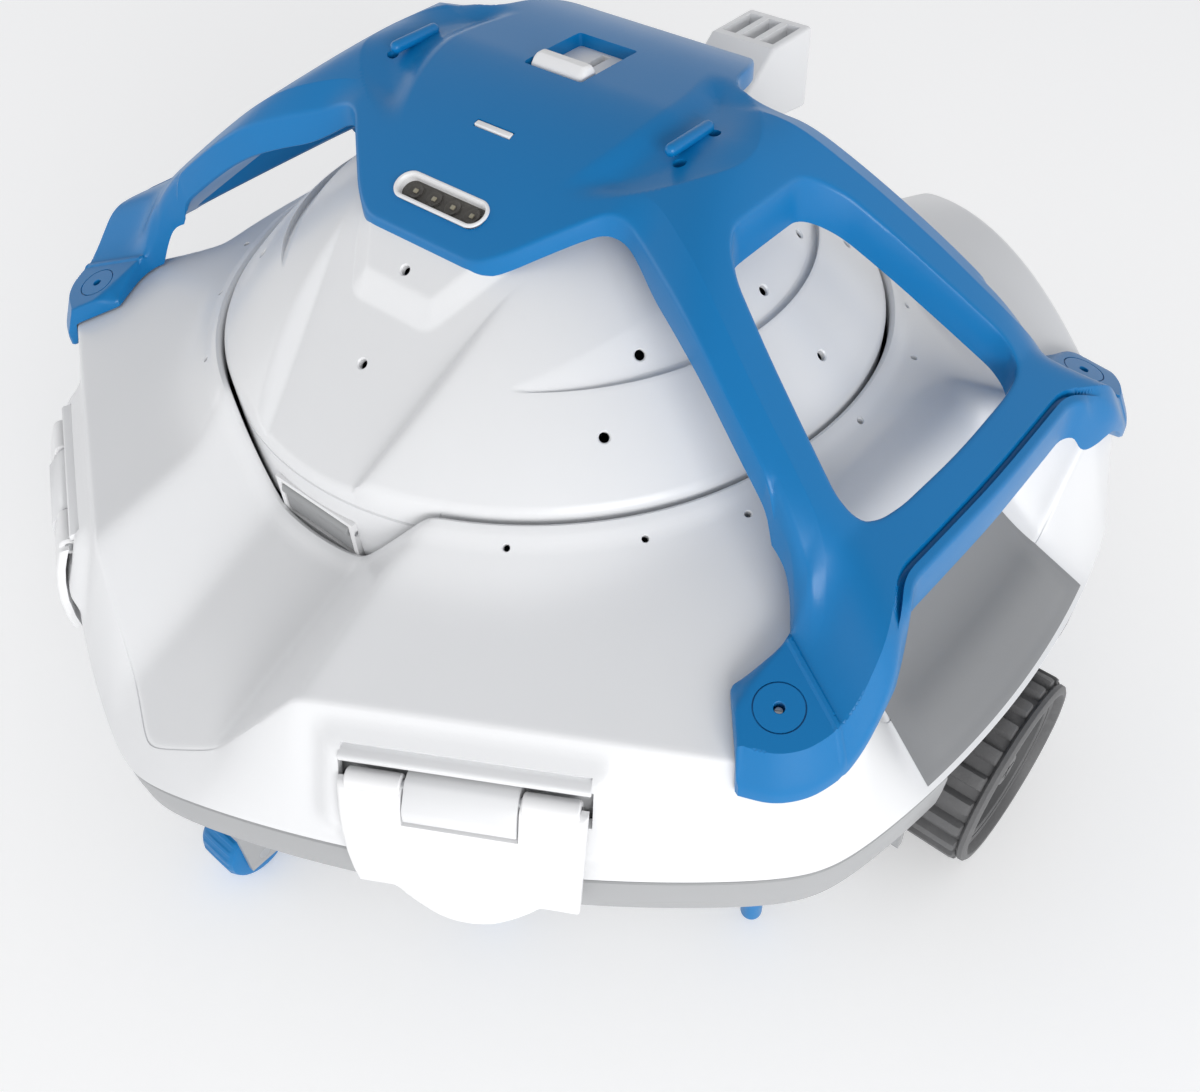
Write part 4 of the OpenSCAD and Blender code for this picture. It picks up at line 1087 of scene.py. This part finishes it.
def wheel_tyre(s, side):
    n = LUGS * 20
    a = np.arange(n) * 2 * math.pi / n
    wave = 0.5 + 0.5 * np.cos(a * LUGS)
    lug = step(wave, 0.32, 0.62)
    low, high = WHEEL_OUT - WHEEL_W, WHEEL_OUT
    profile = [(26.1, low, 0), (30.3, low, 0), (31.0, low + 0.4, 0), (31.2, low + 1.2, 0.2),
               (31.3, low + 1.8, 0.9), (31.3, low + 3, 1), (31.4, low + 8, 1), (31.4, high - 8, 1),
               (31.3, high - 4.6, 1), (31.3, high - 3.6, 0.9), (31.2, high - 3.1, 0.25),
               (32.2, high - 2.8, 0), (32.7, high - 2.2, 0), (32.6, high - 0.9, 0), (31.6, high - 0.2, 0),
               (30.6, high, 0), (29.8, high - 0.2, 0), (29.2, high - 1.2, 0), (28.8, high - 2.6, 0),
               (26.1, high - 2.8, 0)]
    rings = []
    for r, x, w in profile:
        rr = r + w * lug * (WHEEL_R - 0.1 - r)
        rings.append(loop_at(rr, np.cos(a), np.sin(a), x))
    tyre = wheel_on_axle(rings_object("wheel_tyre_" + side + "_moulding", rings), s)
    piece(tyre, TYRE, "wheel_" + side, ["wheel_tyre_" + side])


def wheel_rim(s, side):
    low, high = WHEEL_OUT - WHEEL_W, WHEEL_OUT
    inside_face = [(7.1, 0.5), (12, 0.5), (13, 3), (22, 3), (23.5, 0.5), (26, 0.5)]
    outside_face = [(26, 3), (24.6, 3), (24.2, 3.4), (23.4, 8.6), (22.4, 9.4), (14, 9.9), (12.6, 9.4),
                    (11.9, 8.1), (7.1, 8.1)]
    faces = [(r, low + x) for r, x in inside_face] + [(r, high - x) for r, x in outside_face]
    dish = lathe("dish", faces, 160)
    ribs = []
    for i in range(10):
        rib = bevelled(block("rib", (12.0, -0.9, high - 10.6), (23.6, 0.9, high - 7.4)), 0.35, 2)
        ribs.append(transform(rib, turned(i * 36, "Z")))
    rim = joined("wheel_rim_" + side + "_moulding", [dish] + ribs)
    wheel_on_axle(rim, s)
    piece(rim, WHEEL, "wheel_" + side, ["wheel_rim_" + side])


def wheel_cap(s, side):
    high = WHEEL_OUT
    profile = [(0, 7.9), (10.6, 7.9), (11, 7.5), (11, 6), (10.2, 5.3), (7.2, 5.2), (6.4, 4.9), (6.0, 3.6),
               (5.4, 3.1), (0, 3.1)]
    cap = lathe("cap", [(r, high - x) for r, x in profile], 96)
    slot = block("cap_slot", (-4.4, -0.7, high - 4.3), (4.4, 0.7, high))
    cross = block("cap_cross", (-0.7, -4.4, high - 4.3), (0.7, 4.4, high))
    cut(cap, [slot])
    cut(cap, [cross])
    cap.name = "wheel_cap_" + side + "_moulding"
    wheel_on_axle(cap, s)
    piece(cap, WHEEL, "wheel_" + side, ["wheel_cap_" + side])


def roller(s, side):
    n = 240
    a = np.arange(n) * 2 * math.pi / n
    ridge = 0.35 * step(0.5 + 0.5 * np.cos(a * 20), 0.4, 0.7)
    rings = []
    half = [(2.1, -8.5, 0), (9.6, -8.5, 0), (10.8, -8.1, 0), (11.35, -7.2, 0), (11.5, -6, 1)]
    for r, x, w in half + [(11.6, 0, 1)] + [(r, -x, w) for r, x, w in half[::-1]]:
        rr = r + w * ridge
        rings.append(loop_at(rr, np.cos(a), np.sin(a), x))
    obj = rings_object("roller_" + side + "_moulding", rings)
    transform(obj, moved(0, s * 169, 12) @ turned(90, "Y"))
    piece(obj, BLUE, "roller_" + side, ["roller_" + side])


def glide_studs():
    studs = []
    r = 3.5
    ball = [(r * math.sin(t), 5.5 - r * math.cos(t)) for t in np.linspace(0, math.pi / 2, 12)]
    for sx, sy in QUARTERS:
        for x, y in STUD_PLACES:
            stud = lathe("stud", ball + [(r, 44), (0, 44)], 48)
            studs.append(transform(stud, moved(sx * x, sy * y, 0)))
    piece(joined("glide_stud_set", studs), BLUE, "hull", ["glide_studs"])


# ---- lamp, light pipe and switch ----
def lamp():
    place = on_lamp()
    chip_xs = [(i - 1.5) * 7.6 for i in range(4)]
    rings = []
    for grow, z in [(-0.3, -7.5), (-0.3, 0.0), (0.5, 0.1), (0.8, 0.4), (0.65, 0.8), (0.2, 0.95), (-0.3, 0.8),
                    (-0.6, 0.3), (-0.7, -0.3), (-0.75, -4.4), (-0.75, -7.5)]:
        rings.append([(x, y, z) for x, y in oblong(LED_HALF, LED_R + grow, 81)])
    bezel = transform(rings_object("lamp_bezel", rings), place)
    piece(bezel, TRIM, "hull", ["led_bezel"])
    board = [prism("tray", oblong(LED_HALF, LED_R - 0.72, 60), -4.6, -1.9)]
    for x in chip_xs:
        cup = lathe("cup", [(0, -2.4), (2.4, -2.4), (2.6, -1.35), (2.35, -1.3), (1.4, -1.7), (0, -1.7)], 40)
        board.append(transform(cup, moved(x, 0, 0)))
    silver = transform(joined("lamp_reflectors", board), place)
    chips = [transform(bevelled(block("chip", (-0.7, -0.7, -1.8), (0.7, 0.7, -1.2)), 0.2, 2),
                       moved(x, 0, 0)) for x in chip_xs]
    chips = transform(joined("lamp_chips", chips), place)
    piece(silver, SILVER, "hull", ["led_board"])
    piece(chips, CHIP, "hull", [])
    pane = []
    for grow, z in [(-0.8, -0.8), (-0.78, -0.1), (-1.1, 0.1)]:
        pane.append([(x, y, z) for x, y in oblong(LED_HALF, LED_R + grow, 61)])
    glass = transform(stack_object("lamp_window", pane), place)
    piece(glass, LENS, "hull", ["led_lens"])
    z = float(hub_height(PIPE_Y))
    pipe = transform(bevelled(block("light_pipe_bar", (-7, -1, -8), (7, 1, 0.3)), 0.35, 3),
                     moved(0, PIPE_Y, z) @ turned(10, "X"))
    piece(pipe, TRIM, "hull", ["light_pipe"])


def switch_plan(grow):
    """The outline of the switch's well, as (x, y)."""
    corners = [(x + math.copysign(grow, x), SWITCH_Y + y + math.copysign(grow, y), 1.4)
               for x, y in SWITCH_PLAN]
    return [tuple(p) for p in rounded_path(corners, 5)]


def switch():
    floor = HUB_Z - 4.2
    plate = prism("switch_dish", switch_plan(-0.05), floor - 4.4, HUB_Z - 1.1)
    cut(plate, [prism("switch_hollow", switch_plan(-1.0), floor, HUB_Z + 5)])
    slit = block("slit", (-1.5, SWITCH_Y - 5, HUB_Z - 12), (1.5, SWITCH_Y + 16, HUB_Z))
    cut(plate, [slit])
    piece(bevelled(plate, 0.25, 2), TRIM, "hull", ["switch_plate"])
    rings = []
    for z, half, front, back in [(0.1, 10.2, -7.3, 0.4), (2.6, 10.2, -7.3, 0.2), (3.6, 10.1, -7.1, 0.0),
                                 (5.0, 10.0, -5.9, -0.6), (5.8, 9.7, -5.0, -1.1), (6.3, 9.0, -4.3, -1.8)]:
        corners = [(-half, front, 1.0), (half, front, 2.6), (half, back, 1.6), (-half, back, 1.0)]
        rings.append([(x, SWITCH_Y + y, floor + z) for x, y in rounded_path(corners, 8)])
    knob = stack_object("knob", rings)
    tongue = block("tongue", (-1.2, SWITCH_Y - 4.6, floor - 5.6), (1.2, SWITCH_Y - 0.6, floor + 0.6))
    whole = joined("switch_slider_knob", [knob, tongue])
    piece(whole, TRIM, "power_switch", ["switch_slider"])


# ---- outlets and rear nozzle ----
def outlet_flap(s, side):
    half, y, z = 15.0, DOME_R - 1.2, 120.0
    panel = bevelled(block("panel", (-half, -1.1, -8.1), (half, 0.6, 1.4)), 0.4, 3)
    barrel = lathe("barrel", [(1.1, -half), (1.8, -half), (2.0, -half + 0.2), (2.0, half - 0.2), (1.8, half),
                              (1.1, half)], 40)
    transform(barrel, turned(90, "Y"))
    whole = joined("outlet_flap_" + side + "_moulding", [panel, barrel])
    transform(whole, moved(0, s * y, z))
    piece(whole, FLAP, "flap_" + side, ["outlet_flap_" + side])


def rear_nozzle():
    half, y0, back = 13.5, 85.0, 126.0
    low, high, stem = 163.0, 187.5, NOZZLE_STEM_Y
    side = [(y0, low), (back, low - 5), (back, high), (102, high), (y0, low + 12)]
    body = transform(prism("nozzle_body", [(y, z) for y, z in side], -half, half),
                     Matrix(((0, 0, 1, 0), (1, 0, 0, 0), (0, 1, 0, 0), (0, 0, 0, 1))))
    bevelled(body, 1.6, 4)
    cut(body, [block("mouth", (-half + 3, stem, low + 2), (half - 3, 140, low + 12))])
    slots = [block("slot", (i * 8 - 2.8, 105, high - 5), (i * 8 + 2.8, 122, high + 5)) for i in (-1, 0, 1)]
    cut(body, slots)
    cut(body, [transform(rod("bore", 5.5, 150, low + 4), moved(0, stem, 0))])
    tube = lathe("stem", [(5.5, 128), (7.7, 128), (8, 128.4), (8, low + 0.6), (5.5, low + 0.6)], 72)
    transform(tube, moved(0, stem, 0))
    whole = joined("rear_nozzle_moulding", [body, tube])
    piece(whole, WHITE, "jet_nozzle", ["rear_nozzle"])


# ---- carried-over nodes ----
def dress_carried():
    for mat, names in CARRIED.items():
        for name in names:
            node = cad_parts[name]
            node.data.materials.clear()
            node.data.materials.append(mat)


# ---- stage ----
def stage():
    far = 6000
    corners = [(-far, -far, 0), (far, -far, 0), (far, far, 0), (-far, far, 0)]
    floor = mesh_object("floor", corners, [(0, 1, 2, 3)])
    mat = material("studio_floor", (0.9, 0.9, 0.9), 0.9, grain=0.0, variation=0.0, specular=0.0)
    shader = mat.node_tree.nodes["Principled BSDF"]
    shader.inputs["Emission Color"].default_value = (1, 1, 1, 1)
    shader.inputs["Emission Strength"].default_value = 0.24
    floor.data.materials.append(mat)
    world = bpy.data.worlds.new("studio")
    bpy.context.scene.world = world
    world.use_nodes = True
    nodes, links = world.node_tree.nodes, world.node_tree.links
    where = nodes.new("ShaderNodeTexCoord")
    split = nodes.new("ShaderNodeSeparateXYZ")
    links.new(where.outputs["Generated"], split.inputs[0])
    ramp = nodes.new("ShaderNodeValToRGB")
    stops = ramp.color_ramp.elements
    stops[0].position, stops[0].color = 0.0, (1.0, 1.0, 1.0, 1)
    stops[1].position, stops[1].color = 0.95, (0.34, 0.345, 0.355, 1)
    for place, tone in ((0.2, 0.84), (0.45, 0.55), (0.7, 0.4)):
        stops.new(place).color = (tone, tone * 1.005, tone * 1.02, 1)
    links.new(split.outputs["Z"], ramp.inputs["Fac"])
    links.new(ramp.outputs["Color"], nodes["Background"].inputs["Color"])
    nodes["Background"].inputs["Strength"].default_value = 1.3


LIT_POINT = Vector((0, 0, 0.1))


def light(name, place, size, power):
    data = bpy.data.lights.new(name, "AREA")
    data.shape = "RECTANGLE"
    data.size, data.size_y = size
    data.energy = power
    obj = bpy.data.objects.new(name, data)
    bpy.context.scene.collection.objects.link(obj)
    obj.location = place
    obj.rotation_euler = (LIT_POINT - Vector(place)).to_track_quat("-Z", "Y").to_euler()


def lights():
    light("key", (1.35, -0.85, 0.5), (0.9, 0.6), 13)
    light("left_fill", (-1.3, -0.9, 0.5), (0.9, 0.7), 2)


def camera():
    """The main view, from the front right and above."""
    heading, tilt, roll = math.radians(42.626), math.radians(46.377), math.radians(-2.837)
    data = bpy.data.cameras.new("camera")
    data.sensor_width = 36.0
    data.lens = 35.1135
    data.clip_start, data.clip_end = 0.01, 50
    obj = bpy.data.objects.new("camera", data)
    bpy.context.scene.collection.objects.link(obj)
    ahead = Vector((-math.sin(heading) * math.cos(tilt), math.cos(heading) * math.cos(tilt), -math.sin(tilt)))
    right = Vector((math.cos(heading), math.sin(heading), 0))
    up = right.cross(ahead)
    right, up = right * math.cos(roll) + up * math.sin(roll), up * math.cos(roll) - right * math.sin(roll)
    turn = Matrix((right, up, -ahead)).transposed().to_4x4()
    obj.matrix_world = Matrix.Translation((0.23285, -0.23701, 0.36281)) @ turn
    bpy.context.scene.camera = obj


dress_carried()
upper_shell()
dome_cover()
base_shell()
lifting_frame()
foot_screws()
# Sheets of painted shade on the scoops under the outer bars, one each side.
for sign, side_name in ((1, "right"), (-1, "left")):
    painted_shade_sheet(sign, "painted_shade_sheet_" + side_name)
for latch_name in LATCH_TURNS:
    latch(latch_name)
latch_brackets()
for sign, side_name in ((1, "right"), (-1, "left")):
    wheel_tyre(sign, side_name)
    wheel_rim(sign, side_name)
    wheel_cap(sign, side_name)
for sign, side_name in ((-1, "front"), (1, "back")):
    roller(sign, side_name)
    outlet_flap(sign, side_name)
glide_studs()
lamp()
switch()
rear_nozzle()
stage()
lights()
camera()
bpy.context.scene.view_settings.view_transform = "Standard"
bpy.context.scene.view_settings.look = "None"
